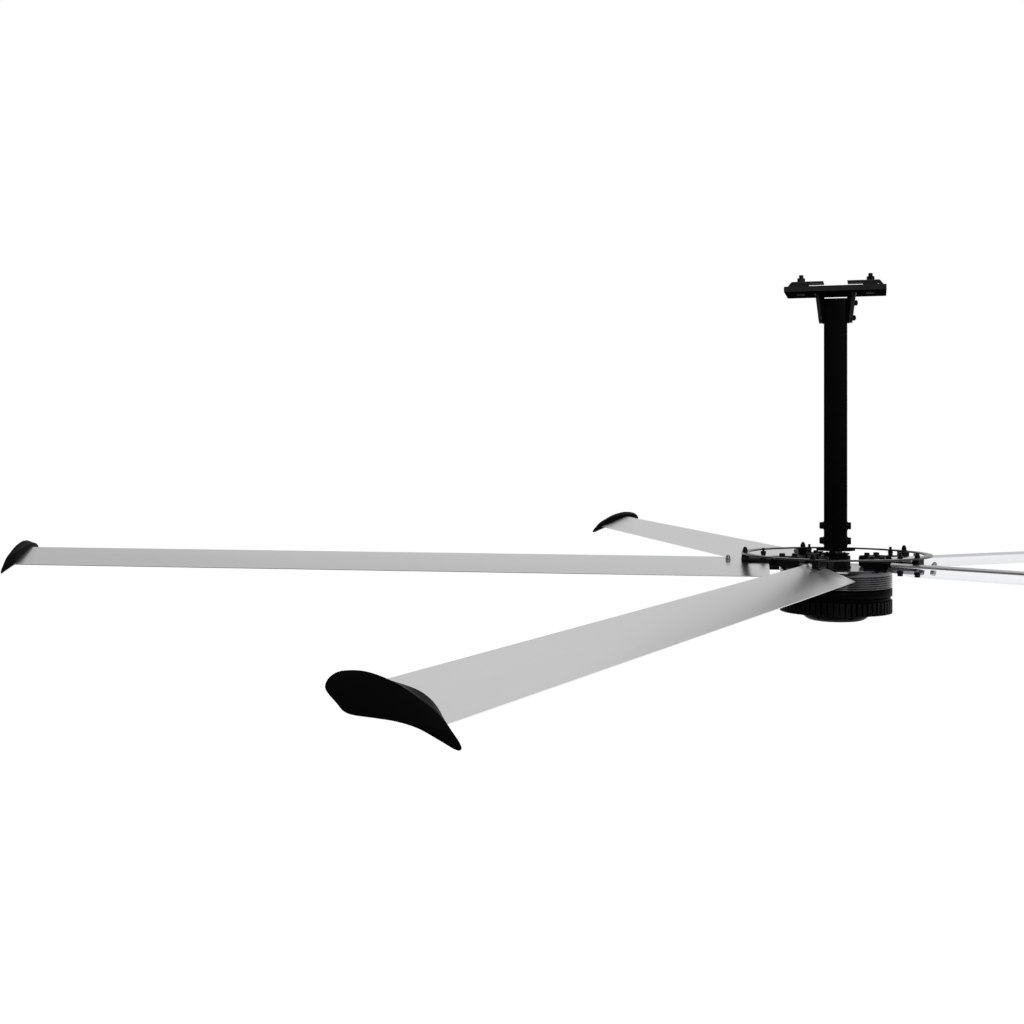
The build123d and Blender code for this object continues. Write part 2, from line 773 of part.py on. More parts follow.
with BuildPart() as rotor_shell:
    with BuildSketch(Plane.XY.offset(motor_top)):
        Circle(shell_radius)
    extrude(amount=-rotor_height)
    with BuildSketch(Plane.XY.offset(motor_top)):
        Circle(motor_diameter / 2)
    extrude(amount=-rib_start_drop)
    for index in range(1, rib_count + 1):
        with BuildSketch(Plane.XY.offset(motor_top - rib_start_drop + rib_thick - index * rib_pitch)):
            Circle(motor_diameter / 2)
        extrude(amount=-rib_thick)
    with BuildSketch(Plane.XY.offset(shell_ceiling)):
        Circle(shell_inner_radius)
        Circle(column_diameter / 2, mode=Mode.SUBTRACT)
    extrude(amount=-rotor_height, mode=Mode.SUBTRACT)
    with BuildSketch(Plane.XY.offset(lower_bearing_bottom)):
        Circle(shell_inner_radius)
    extrude(amount=-rotor_height, mode=Mode.SUBTRACT)
    with BuildSketch(Plane.XY.offset(motor_top)):
        Circle(bearing_diameter / 2 + bearing_fit)
    extrude(amount=-rotor_height, mode=Mode.SUBTRACT)
    for angle in blade_angles:
        with Locations(level_spot(angle, inner_arm_bolt_radius, motor_top)):
            Cylinder(m12_shank / 2 + bolt_play, shell_top_thick, align=down, mode=Mode.SUBTRACT)
rotor_shell.part.label = "rotor_shell"
export_step(rotor_shell.part, "parts/rotor_shell.step")

with BuildPart() as rotor_band:
    with BuildSketch(Plane.XY.offset(rotor_bottom)):
        Circle(motor_diameter / 2)
        Circle(shell_radius + bearing_fit, mode=Mode.SUBTRACT)
    extrude(amount=band_height)
rotor_band.part.label = "rotor_band"
export_step(rotor_band.part, "parts/rotor_band.step")

# Magnets: curved blocks glued round the inside of the shell's wall

magnet_level = (core_top + core_bottom - magnet_height) / 2

with BuildPart() as rotor_magnets:
    with BuildSketch(Plane.XY.offset(magnet_level)):
        Circle(magnet_outer_radius)
        Circle(magnet_inner_radius, mode=Mode.SUBTRACT)
        gap_width = 2 * pi * magnet_inner_radius / magnet_count * (1 - magnet_fill)
        with PolarLocations(magnet_inner_radius, magnet_count, start_angle=180 / magnet_count):
            Rectangle(3 * magnet_thick, gap_width, mode=Mode.SUBTRACT)
    extrude(amount=magnet_height)
rotor_magnets.part.label = "rotor_magnets"
export_step(rotor_magnets.part, "parts/rotor_magnets.step")

# Stator: a toothed ring of laminations on a carrier disc, with a coil round each tooth

core_bore_radius = core_radius - core_depth
yoke_ring_radius = core_bore_radius + yoke_ring_thick
tip_inner_radius = core_radius - tooth_tip_thick

with BuildPart() as stator_core:
    with BuildSketch(Plane.XY.offset(core_bottom)):
        Circle(core_radius)
        Circle(tip_inner_radius, mode=Mode.SUBTRACT)
        with PolarLocations(core_radius, tooth_count, start_angle=180 / tooth_count):
            Rectangle(4 * tooth_tip_thick, tooth_gap, mode=Mode.SUBTRACT)
        Circle(yoke_ring_radius)
        with PolarLocations(core_bore_radius + core_depth / 2, tooth_count):
            Rectangle(core_depth - tooth_tip_thick / 2, tooth_width)
        Circle(core_bore_radius, mode=Mode.SUBTRACT)
    extrude(amount=core_height)
stator_core.part.label = "stator_core"
export_step(stator_core.part, "parts/stator_core.step")

coil_inner_radius = yoke_ring_radius + slip_gap
coil_hole_width = tooth_width + 2 * slip_gap
coil_hole_height = core_height + 2 * slip_gap
coil_half_width = coil_hole_width / 2 + coil_thick
coil_outer_radius = sqrt(tip_inner_radius ** 2 - coil_half_width ** 2) - slip_gap
coil_middle = (core_top + core_bottom) / 2

with BuildPart() as stator_coils:
    for index in range(tooth_count):
        outward = Vector(1, 0, 0).rotate(Axis.Z, index * 360 / tooth_count)
        origin = outward * coil_inner_radius + Vector(0, 0, coil_middle)
        with BuildSketch(Plane(origin=origin, x_dir=(0, 0, 1), z_dir=outward)):
            RectangleRounded(coil_hole_height + 2 * coil_thick, 2 * coil_half_width, coil_thick)
            Rectangle(coil_hole_height, coil_hole_width, mode=Mode.SUBTRACT)
        extrude(amount=coil_outer_radius - coil_inner_radius)
stator_coils.part.label = "stator_coils"
export_step(stator_coils.part, "parts/stator_coils.step")

carrier_top = coil_middle + carrier_thick / 2

with BuildPart() as stator_carrier:
    with BuildSketch(Plane.XY.offset(carrier_top)):
        Circle(core_bore_radius - bearing_fit)
        Circle(shaft_shoulder_diameter / 2 + bearing_fit, mode=Mode.SUBTRACT)
        with PolarLocations((core_bore_radius + shaft_shoulder_diameter / 2) / 2, carrier_hole_count):
            Circle((core_bore_radius - shaft_shoulder_diameter / 2) / 4, mode=Mode.SUBTRACT)
    extrude(amount=-carrier_thick)
    with BuildSketch(Plane.XY.offset(coil_middle - core_height / 2)):
        Circle(core_bore_radius - bearing_fit)
        Circle(core_bore_radius - carrier_rim, mode=Mode.SUBTRACT)
        Circle(shaft_shoulder_diameter / 2 + carrier_rim)
        Circle(shaft_shoulder_diameter / 2 + bearing_fit, mode=Mode.SUBTRACT)
    extrude(amount=core_height)
stator_carrier.part.label = "stator_carrier"
export_step(stator_carrier.part, "parts/stator_carrier.step")

# Drive cover: the still disc under the rotor that closes the drive housing and makes its neck

with BuildPart() as drive_cover:
    with BuildSketch(Plane.XY.offset(fin_top)):
        Circle(motor_diameter / 2 - neck_inset)
        Circle(shaft_shoulder_diameter / 2 + bearing_fit, mode=Mode.SUBTRACT)
    extrude(amount=neck_height)
    with BuildSketch(Plane.XY.offset(fin_top)):
        Circle(housing_radius - 2 * housing_wall)
        Circle(shaft_shoulder_diameter / 2 + carrier_rim, mode=Mode.SUBTRACT)
    extrude(amount=neck_height - housing_wall, mode=Mode.SUBTRACT)
drive_cover.part.label = "drive_cover"
export_step(drive_cover.part, "parts/drive_cover.step")

# Drive housing: a finned pan bolted up against the cover, carried by the nut at the shaft's end

with BuildPart() as drive_housing:
    with BuildSketch(Plane.XY.offset(housing_bottom)):
        Circle(housing_radius)
    extrude(amount=fin_height)
    with BuildSketch(Plane.XY.offset(housing_bottom)):
        with PolarLocations(housing_radius + (fin_depth - fin_root) / 2, fin_count):
            Rectangle(fin_depth + fin_root, fin_thick)
    extrude(amount=fin_height)
    with BuildSketch(Plane.XY.offset(housing_bottom + housing_floor)):
        Circle(housing_radius - housing_wall)
        Circle(shaft_shoulder_diameter / 2 + carrier_rim, mode=Mode.SUBTRACT)
    extrude(amount=fin_height, mode=Mode.SUBTRACT)
    with BuildSketch(Plane.XY.offset(housing_bottom)):
        Circle(shaft_diameter / 2 + bearing_fit)
        with PolarLocations(screw_circle, end_cap_screw_count):
            Circle(m5_shank / 2 + bolt_play)
    extrude(amount=fin_height, mode=Mode.SUBTRACT)
drive_housing.part.label = "drive_housing"
export_step(drive_housing.part, "parts/drive_housing.step")

board_bottom = housing_bottom + housing_floor + board_lift

with BuildPart() as controller_board:
    with BuildSketch(Plane.XY.offset(board_bottom)):
        with GridLocations(board_size - 2 * board_post_inset, board_size - 2 * board_post_inset, 2, 2):
            Circle(board_post_diameter / 2)
    extrude(amount=-board_lift)
    with BuildSketch(Plane.XY.offset(board_bottom)):
        Rectangle(board_size, board_size)
        Circle(board_bore / 2, mode=Mode.SUBTRACT)
    extrude(amount=board_thick)
    with BuildSketch(Plane.XY.offset(board_bottom + board_thick)):
        with GridLocations(board_size / 3, board_size * 2 / 3, 3, 2):
            RectangleRounded(board_chip_length, board_chip_width, board_chip_corner)
    extrude(amount=board_chip_height)
controller_board.part.label = "controller_board"
export_step(controller_board.part, "parts/controller_board.step")

with BuildPart() as shaft_nut:
    with BuildSketch(Plane.XY.offset(housing_bottom)):
        RegularPolygon(shaft_nut_flats / 2, 6, major_radius=False)
        Circle(shaft_diameter / 2 + slip_gap, mode=Mode.SUBTRACT)
    extrude(amount=-shaft_nut_height)
shaft_nut.part.label = "shaft_nut"
export_step(shaft_nut.part, "parts/shaft_nut.step")

# Bottom cap: a shallow dish with a flange, screwed up into the drive housing

with BuildPart() as bottom_cap:
    with BuildSketch(Plane.XZ):
        with BuildLine():
            rim = Polyline(
                (0, housing_bottom - end_cap_height + end_cap_wall),
                (end_cap_flat_radius, housing_bottom - end_cap_height + end_cap_wall),
                (dish_radius - end_cap_wall, housing_bottom - end_cap_flange),
                (dish_radius - end_cap_wall, housing_bottom),
                (end_cap_radius, housing_bottom),
                (end_cap_radius, housing_bottom - end_cap_flange),
            )
            side_curve = SagittaArc(rim @ 1, (end_cap_flat_radius, end_cap_bottom), end_cap_bulge)
            Polyline(side_curve @ 1, (0, end_cap_bottom), rim @ 0)
        make_face()
    revolve(axis=Axis.Z)
    with BuildSketch(Plane.XY.offset(housing_bottom)):
        with PolarLocations(screw_circle, end_cap_screw_count):
            Circle(m5_shank / 2 + bolt_play)
    extrude(amount=-end_cap_height, mode=Mode.SUBTRACT)
    with BuildSketch(Plane.XY.offset(screw_seat)):
        with PolarLocations(screw_circle, end_cap_screw_count):
            Circle(m5_head_diameter / 2 + bolt_play)
    extrude(amount=-end_cap_height, mode=Mode.SUBTRACT)
bottom_cap.part.label = "bottom_cap"
export_step(bottom_cap.part, "parts/bottom_cap.step")

# Cap screws, sunk in the cap's thick rim

with BuildPart() as cap_screws:
    with BuildSketch(Plane.XY.offset(screw_seat)):
        with PolarLocations(screw_circle, end_cap_screw_count):
            Circle(m5_head_diameter / 2)
    extrude(amount=-m5_head)
    with BuildSketch(Plane.XY.offset(screw_seat)):
        with PolarLocations(screw_circle, end_cap_screw_count):
            Circle(m5_shank / 2)
    extrude(amount=end_cap_flange + screw_reach)
cap_screws.part.label = "cap_screws"
export_step(cap_screws.part, "parts/cap_screws.step")

# Blade holders: a root block on the rotor's top, with the tongue for the blade welded into its end

arm_underside = arm_top - arm_thick
root_block_height = arm_underside - motor_top
tongue_top = pad_height - blade_wall - slip_gap
tongue_bottom = belly_height + blade_wall + slip_gap
arm_bolt_radii = (inner_arm_bolt_radius, outer_arm_bolt_radius)
arm_bolt_lengths = (arm_top - shell_ceiling - bolt_end, arm_thick + outer_arm_bolt_grip)
upright_bolt_radii = (root_bolt_radius, ring_bolt_radius)


def root_section():
    """The root block's upright section."""
    with BuildSketch() as section:
        with Locations((0, motor_top + root_block_height / 2)):
            Rectangle(root_block_width, root_block_height)
    return section.sketch


def tongue_section():
    """The tongue's section across the blade, one clearance inside the front cell."""
    with BuildSketch() as section:
        with Locations(((tongue_front + tongue_back) / 2, (tongue_top + tongue_bottom) / 2)):
            Rectangle(tongue_back - tongue_front, tongue_top - tongue_bottom)
    return section.sketch


for number, angle in enumerate(blade_angles, start=1):
    with BuildPart() as blade_holder:
        with BuildSketch(across_plane(angle, root_block_start)):
            add(root_section())
        extrude(amount=root_block_end - root_block_start)
        with BuildSketch(section_plane(angle, root_block_end - tongue_root)):
            add(tongue_section())
        extrude(amount=outer_bolt_radius + tongue_overhang - root_block_end + tongue_root)
        for radius, length in zip(arm_bolt_radii, arm_bolt_lengths):
            with Locations(level_spot(angle, radius, arm_top)):
                Cylinder(m12_shank / 2 + bolt_play, length + bolt_end, align=down, mode=Mode.SUBTRACT)
        for radius in upright_bolt_radii:
            with Locations(level_spot(angle, radius, pitch_axis_height)):
                Cylinder(m10_shank / 2 + bolt_play, hole_reach, mode=Mode.SUBTRACT)
        with Locations(pitched_spot(angle, outer_bolt_radius, 0)):
            Cylinder(m10_shank / 2 + bolt_play, hole_reach, mode=Mode.SUBTRACT)
    blade_holder.part.label = f"blade_holder_{number}"
    export_step(blade_holder.part, f"parts/blade_holder_{number}.step")

# Upper arms: flat on the root block, then twisted to the blade's pitch and laid along its top


def arm_section(middle):
    """The arm's section, about a height."""
    with BuildSketch() as section:
        with Locations((0, middle)):
            Rectangle(arm_width, arm_thick)
    return section.sketch


arm_end = ring_bolt_radius + arm_overhang

for number, angle in enumerate(blade_angles, start=1):
    with BuildPart() as upper_arm:
        with BuildSketch(across_plane(angle, root_block_start)):
            add(arm_section(arm_top - arm_thick / 2))
        extrude(amount=arm_flat_end - root_block_start)
        with BuildSketch(across_plane(angle, arm_flat_end)):
            add(arm_section(arm_top - arm_thick / 2))
        with BuildSketch(section_plane(angle, arm_twist_end)):
            add(arm_section(pad_height + arm_thick / 2))
        loft(ruled=True)
        with BuildSketch(pitch_plane(angle).offset(pad_height)) as arm_sketch:
            with Locations(((arm_twist_end + arm_end) / 2, 0)):
                Rectangle(arm_end - arm_twist_end, arm_width)
            fillet(arm_sketch.vertices().sort_by_distance((0, 0, pitch_axis_height))[-2:], arm_end_corner)
        extrude(amount=arm_thick)
        for radius in arm_bolt_radii:
            with Locations(level_spot(angle, radius, arm_top)):
                Cylinder(m12_shank / 2 + bolt_play, hole_reach, mode=Mode.SUBTRACT)
        for radius in upright_bolt_radii:
            with Locations(level_spot(angle, radius, pitch_axis_height)):
                Cylinder(m10_shank / 2 + bolt_play, hole_reach, mode=Mode.SUBTRACT)
    upper_arm.part.label = f"upper_arm_{number}"
    export_step(upper_arm.part, f"parts/upper_arm_{number}.step")

# Blades: extruded hollow sections, drilled for the root bolts and, from below, for the winglet's screws

screw_radius = blade_end - winglet_plug_depth / 2
screw_middle = (nose_position + pad_end) / 2
screw_places = (screw_middle - winglet_screw_spacing / 2, screw_middle + winglet_screw_spacing / 2)

for number, angle in enumerate(blade_angles, start=1):
    with BuildPart() as blade:
        with BuildSketch(section_plane(angle, blade_start)):
            add(airfoil())
            add(blade_cells(), mode=Mode.SUBTRACT)
        extrude(amount=blade_end - blade_start)
        for radius in upright_bolt_radii:
            with Locations(level_spot(angle, radius, pitch_axis_height)):
                Cylinder(m10_shank / 2 + bolt_play, hole_reach, mode=Mode.SUBTRACT)
        with Locations(pitched_spot(angle, outer_bolt_radius, 0)):
            Cylinder(m10_shank / 2 + bolt_play, hole_reach, mode=Mode.SUBTRACT)
        with BuildSketch(pitch_plane(angle).offset(belly_height)):
            with Locations(*((screw_radius, place) for place in screw_places)):
                Circle(m5_shank / 2 + slip_gap)
        extrude(amount=nose_radius, mode=Mode.SUBTRACT)
    blade.part.label = f"blade_{number}"
    export_step(blade.part, f"parts/blade_{number}.step")

# Winglets: a moulded tip that flares out from the blade's end, with a plug inside the front cell

for number, angle in enumerate(blade_angles, start=1):
    with BuildPart() as winglet:
        with BuildSketch(section_plane(angle, blade_end)):
            add(winglet_root())
        with BuildSketch(section_plane(angle, blade_end + winglet_flare)):
            add(winglet_rim())
        loft()
        with BuildSketch(section_plane(angle, blade_end)):
            add(winglet_plug())
        extrude(amount=-winglet_plug_depth)
        with BuildSketch(pitch_plane(angle).offset(belly_height)):
            with Locations(*((screw_radius, place) for place in screw_places)):
                Circle(m5_shank / 2 + slip_gap)
        extrude(amount=winglet_screw_reach + slip_gap, mode=Mode.SUBTRACT)
    winglet.part.label = f"winglet_{number}"
    export_step(winglet.part, f"parts/winglet_{number}.step")

# Winglet screws: up through the blade's belly into the plug

with BuildPart() as winglet_screws:
    for angle in blade_angles:
        with BuildSketch(pitch_plane(angle).offset(belly_height)):
            with Locations(*((screw_radius, place) for place in screw_places)):
                Circle(m5_head_diameter / 2)
        extrude(amount=-m5_head)
        with BuildSketch(pitch_plane(angle).offset(belly_height)):
            with Locations(*((screw_radius, place) for place in screw_places)):
                Circle(m5_shank / 2)
        extrude(amount=winglet_screw_reach)
winglet_screws.part.label = "winglet_screws"
export_step(winglet_screws.part, "parts/winglet_screws.step")

# Lower straps: a plated bar under each blade's root

with BuildPart() as lower_straps:
    for angle in blade_angles:
        with BuildSketch(pitch_plane(angle).offset(belly_height)):
            add(bar_outline(root_bolt_radius - strap_heel, ring_bolt_radius + strap_overhang))
        extrude(amount=-strap_thick)
        for radius in upright_bolt_radii:
            with Locations(level_spot(angle, radius, pitch_axis_height)):
                Cylinder(m10_shank / 2 + bolt_play, hole_reach, mode=Mode.SUBTRACT)
lower_straps.part.label = "lower_straps"
export_step(lower_straps.part, "parts/lower_straps.step")

# Safety ring over the blades' roots, drilled for the outer upright bolts

ring_inner_radius = ring_bolt_radius - ring_width / 2

with BuildPart() as safety_ring:
    with BuildSketch(Plane.XY.offset(ring_bottom)):
        Circle(ring_inner_radius + ring_width)
        Circle(ring_inner_radius, mode=Mode.SUBTRACT)
        with PolarLocations(ring_bolt_radius, blade_count, start_angle=first_blade_angle):
            Circle(m10_shank / 2 + bolt_play, mode=Mode.SUBTRACT)
    extrude(amount=ring_thick)
safety_ring.part.label = "safety_ring"
export_step(safety_ring.part, "parts/safety_ring.step")

# Tapered washers and wedges, which turn the blades' pitch into the level for the upright bolts and the ring

wedge_middle = arm_face * sin(radians(blade_pitch))
wedge_sides = (wedge_middle - wedge_width / 2, wedge_middle + wedge_width / 2)

with BuildPart() as ring_wedges:
    for angle in blade_angles:
        for radius in upright_bolt_radii:
            with Locations(level_spot(angle, radius, lower_seat)):
                Cylinder(taper_washer_diameter / 2, 2 * taper_rise, align=up)
            with BuildSketch(pitch_plane(angle).offset(strap_face)):
                with Locations((radius, 0)):
                    Circle(taper_washer_diameter)
            extrude(amount=2 * taper_rise, mode=Mode.SUBTRACT)
        with Locations(level_spot(angle, root_bolt_radius, taper_top)):
            Cylinder(taper_washer_diameter / 2, 2 * taper_rise, align=down)
        with BuildSketch(pitch_plane(angle).offset(arm_face)):
            with Locations((root_bolt_radius, 0)):
                Circle(taper_washer_diameter)
        extrude(amount=-2 * taper_rise, mode=Mode.SUBTRACT)
        with Locations(level_spot(angle, root_bolt_radius, taper_top)):
            Cylinder(nut_sleeve_diameter / 2, nut_sleeve_height, align=up)
        with BuildSketch(across_plane(angle, ring_bolt_radius - wedge_length / 2)):
            with BuildLine():
                Polyline(
                    (wedge_sides[0], pitch_axis_height + pitched_rise(arm_face, wedge_sides[0])),
                    (wedge_sides[1], pitch_axis_height + pitched_rise(arm_face, wedge_sides[1])),
                    (wedge_sides[1], ring_bottom),
                    (wedge_sides[0], ring_bottom),
                    close=True,
                )
            make_face()
        extrude(amount=wedge_length)
        for radius in upright_bolt_radii:
            with Locations(level_spot(angle, radius, pitch_axis_height)):
                Cylinder(m10_shank / 2 + bolt_play, 2 * hole_reach, mode=Mode.SUBTRACT)
ring_wedges.part.label = "ring_wedges"
export_step(ring_wedges.part, "parts/ring_wedges.step")

# Fasteners of the rotor

with BuildPart() as arm_bolts:
    for angle in blade_angles:
        for radius, length in zip(arm_bolt_radii, arm_bolt_lengths):
            with Locations(level_spot(angle, radius, arm_top)):
                add(arm_bolt(length))
arm_bolts.part.label = "arm_bolts"
export_step(arm_bolts.part, "parts/arm_bolts.step")

with BuildPart() as blade_bolts:
    for angle in blade_angles:
        with Locations(level_spot(angle, root_bolt_radius, lower_seat)):
            add(under_bolt(root_stud_top - lower_seat))
        with Locations(level_spot(angle, ring_bolt_radius, lower_seat)):
            add(under_bolt(ring_top + nut_depth - slip_gap - lower_seat))
blade_bolts.part.label = "blade_bolts"
export_step(blade_bolts.part, "parts/blade_bolts.step")

with BuildPart() as blade_nuts:
    for angle in blade_angles:
        with Locations(level_spot(angle, root_bolt_radius, upper_seat)):
            add(flange_nut.part)
        with Locations(level_spot(angle, ring_bolt_radius, ring_top)):
            add(cap_nut.part)
blade_nuts.part.label = "blade_nuts"
export_step(blade_nuts.part, "parts/blade_nuts.step")

with BuildPart() as outer_fasteners:
    for angle in blade_angles:
        with Locations(pitched_spot(angle, outer_bolt_radius, belly_height)):
            add(under_bolt(pad_height - belly_height + nut_depth - slip_gap))
        with Locations(pitched_spot(angle, outer_bolt_radius, pad_height)):
            add(cap_nut.part)
outer_fasteners.part.label = "outer_fasteners"
export_step(outer_fasteners.part, "parts/outer_fasteners.step")
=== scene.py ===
from math import atan2, cos, hypot, pi, radians, sin, tan

import bmesh
import bpy
from mathutils import Matrix, Vector


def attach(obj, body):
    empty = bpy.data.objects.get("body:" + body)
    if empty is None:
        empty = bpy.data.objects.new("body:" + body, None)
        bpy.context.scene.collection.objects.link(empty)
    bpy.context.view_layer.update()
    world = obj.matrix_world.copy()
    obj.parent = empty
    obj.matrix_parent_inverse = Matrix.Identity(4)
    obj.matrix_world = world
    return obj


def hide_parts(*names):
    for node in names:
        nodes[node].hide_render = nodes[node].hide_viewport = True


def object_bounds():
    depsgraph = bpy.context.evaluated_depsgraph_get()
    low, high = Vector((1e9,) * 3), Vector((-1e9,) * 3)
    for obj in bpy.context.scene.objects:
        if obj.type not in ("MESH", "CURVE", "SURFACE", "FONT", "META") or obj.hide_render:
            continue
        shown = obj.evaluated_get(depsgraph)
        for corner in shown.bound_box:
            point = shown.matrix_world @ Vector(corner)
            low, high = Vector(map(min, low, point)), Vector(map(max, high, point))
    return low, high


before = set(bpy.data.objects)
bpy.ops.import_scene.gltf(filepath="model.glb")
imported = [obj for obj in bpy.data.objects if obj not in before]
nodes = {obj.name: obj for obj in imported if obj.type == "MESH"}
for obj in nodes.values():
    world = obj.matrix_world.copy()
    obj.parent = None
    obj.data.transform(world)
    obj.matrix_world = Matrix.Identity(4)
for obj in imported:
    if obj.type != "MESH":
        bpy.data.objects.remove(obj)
cad_box = [list(corner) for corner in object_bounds()]
scene = bpy.context.scene
scene.view_settings.view_transform = "Standard"


# The camera
# It stands level, five metres from the fan and a little higher than the blades, and looks past the
# fan's left side, so the fan hangs to the right in the square picture.

camera_spot = (0.140, -5.239, -0.547)
camera_yaw = radians(16.4)
camera_lens = 50.99
camera_shift = (0.0600, -0.0650)

camera_data = bpy.data.cameras.new("camera")
camera_data.lens = camera_lens
camera_data.sensor_width = 36
camera_data.shift_x, camera_data.shift_y = camera_shift
camera_data.clip_end = 100
camera = bpy.data.objects.new("camera", camera_data)
camera.location = camera_spot
camera.rotation_euler = (pi / 2, 0, camera_yaw)
scene.collection.objects.link(camera)
scene.camera = camera


# The room
# A pale floor well below the fan, and a sky that the camera sees as plain white. Shiny metal sees a
# pale ceiling, a pale wall behind and on the right, and a dim wall and floor on the left and in front.

floor_drop = 3.4
floor_size = 60.0

sky = bpy.data.worlds.new("sky")
scene.world = sky
sky.use_nodes = True
nodes_of_sky = sky.node_tree.nodes
nodes_of_sky.clear()


def add_node(tree, kind, **settings):
    """A new node with its settings and the values of its plain inputs."""
    node = tree.nodes.new(kind)
    for name, value in settings.items():
        if name == "inputs":
            for socket, number in value.items():
                node.inputs[socket].default_value = number
        else:
            setattr(node, name, value)
    return node


def add_links(tree, *pairs):
    """Links each output to its input."""
    for start, end in pairs:
        tree.links.new(start, end)


tree = sky.node_tree
direction = add_node(tree, "ShaderNodeTexCoord")
bright_side = add_node(
    tree, "ShaderNodeVectorMath", operation="DOT_PRODUCT", inputs={1: (0.55, 0.75, -0.15)}
)
wall = add_node(
    tree, "ShaderNodeMapRange", interpolation_type="SMOOTHSTEP",
    inputs={"From Min": -0.45, "From Max": 0.35, "To Min": 0.06, "To Max": 0.66},
)
height = add_node(tree, "ShaderNodeSeparateXYZ")
ceiling = add_node(
    tree, "ShaderNodeMapRange", interpolation_type="SMOOTHSTEP",
    inputs={"From Min": 0.1, "From Max": 0.8, "To Min": 0.06, "To Max": 0.56},
)
brighter = add_node(tree, "ShaderNodeMath", operation="MAXIMUM")
rays = add_node(tree, "ShaderNodeLightPath")
room_light = add_node(tree, "ShaderNodeBackground", inputs={"Color": (0.96, 0.98, 1, 1), "Strength": 0.50})
seen_wall = add_node(tree, "ShaderNodeBackground", inputs={"Color": (1, 1, 1, 1)})
white = add_node(tree, "ShaderNodeBackground", inputs={"Color": (1, 1, 1, 1), "Strength": 1})
shiny_mix = add_node(tree, "ShaderNodeMixShader")
camera_mix = add_node(tree, "ShaderNodeMixShader")
mirrored = add_node(tree, "ShaderNodeMath", operation="MAXIMUM")
sky_out = add_node(tree, "ShaderNodeOutputWorld")
add_links(
    tree,
    (direction.outputs["Generated"], bright_side.inputs[0]),
    (bright_side.outputs["Value"], wall.inputs["Value"]),
    (direction.outputs["Generated"], height.inputs[0]),
    (height.outputs["Z"], ceiling.inputs["Value"]),
    (wall.outputs["Result"], brighter.inputs[0]),
    (ceiling.outputs["Result"], brighter.inputs[1]),
    (brighter.outputs[0], seen_wall.inputs["Strength"]),
    (rays.outputs["Is Glossy Ray"], mirrored.inputs[0]),
    (rays.outputs["Is Transmission Ray"], mirrored.inputs[1]),
    (mirrored.outputs[0], shiny_mix.inputs["Fac"]),
    (room_light.outputs[0], shiny_mix.inputs[1]),
    (seen_wall.outputs[0], shiny_mix.inputs[2]),
    (rays.outputs["Is Camera Ray"], camera_mix.inputs["Fac"]),
    (shiny_mix.outputs[0], camera_mix.inputs[1]),
    (white.outputs[0], camera_mix.inputs[2]),
    (camera_mix.outputs[0], sky_out.inputs["Surface"]),
)

floor_mesh = bpy.data.meshes.new("floor")
half = floor_size / 2
floor_level = cad_box[0][2] - floor_drop
corners = [(-half, -half), (half, -half), (half, half), (-half, half)]
floor_mesh.from_pydata([(x, y, floor_level) for x, y in corners], [], [(0, 1, 2, 3)])
floor = bpy.data.objects.new("floor", floor_mesh)
scene.collection.objects.link(floor)

floor_paint = bpy.data.materials.new("floor_paint")
floor_paint.use_nodes = True
tree = floor_paint.node_tree
tree.nodes.clear()
rays = add_node(tree, "ShaderNodeLightPath")
spot = add_node(tree, "ShaderNodeTexCoord")
bright_side = add_node(tree, "ShaderNodeVectorMath", operation="DOT_PRODUCT", inputs={1: (0.59, 0.81, 0)})
dim_side = add_node(
    tree, "ShaderNodeMapRange", interpolation_type="SMOOTHSTEP",
    inputs={"From Min": -3.0, "From Max": 0.2, "To Min": 0.94, "To Max": 0},
)
dimmed = add_node(tree, "ShaderNodeMath", operation="MULTIPLY")
dim = add_node(tree, "ShaderNodeEmission", inputs={"Strength": 0.02})
seen_floor = add_node(tree, "ShaderNodeMixShader")
mirrored = add_node(tree, "ShaderNodeMath", operation="MULTIPLY", inputs={1: 0.42})
lift = add_node(tree, "ShaderNodeMath", operation="MULTIPLY_ADD", inputs={1: 0.62})
matt = add_node(tree, "ShaderNodeBsdfDiffuse", inputs={"Color": (0.86, 0.86, 0.86, 1)})
glow = add_node(tree, "ShaderNodeEmission")
both = add_node(tree, "ShaderNodeAddShader")
floor_out = add_node(tree, "ShaderNodeOutputMaterial")
add_links(
    tree,
    (rays.outputs["Is Glossy Ray"], mirrored.inputs[0]),
    (rays.outputs["Is Camera Ray"], lift.inputs[0]),
    (mirrored.outputs[0], lift.inputs[2]),
    (lift.outputs[0], glow.inputs["Strength"]),
    (matt.outputs[0], both.inputs[0]),
    (glow.outputs[0], both.inputs[1]),
    (spot.outputs["Object"], bright_side.inputs[0]),
    (bright_side.outputs["Value"], dim_side.inputs["Value"]),
    (dim_side.outputs["Result"], dimmed.inputs[0]),
    (rays.outputs["Is Glossy Ray"], dimmed.inputs[1]),
    (dimmed.outputs[0], seen_floor.inputs["Fac"]),
    (both.outputs[0], seen_floor.inputs[1]),
    (dim.outputs[0], seen_floor.inputs[2]),
    (seen_floor.outputs[0], floor_out.inputs["Surface"]),
)
floor_mesh.materials.append(floor_paint)


# The lamps
# A wide key lamp behind and to the right, a fill lamp high on the left, and a low one in front. The
# polished blades mirror only the low one.

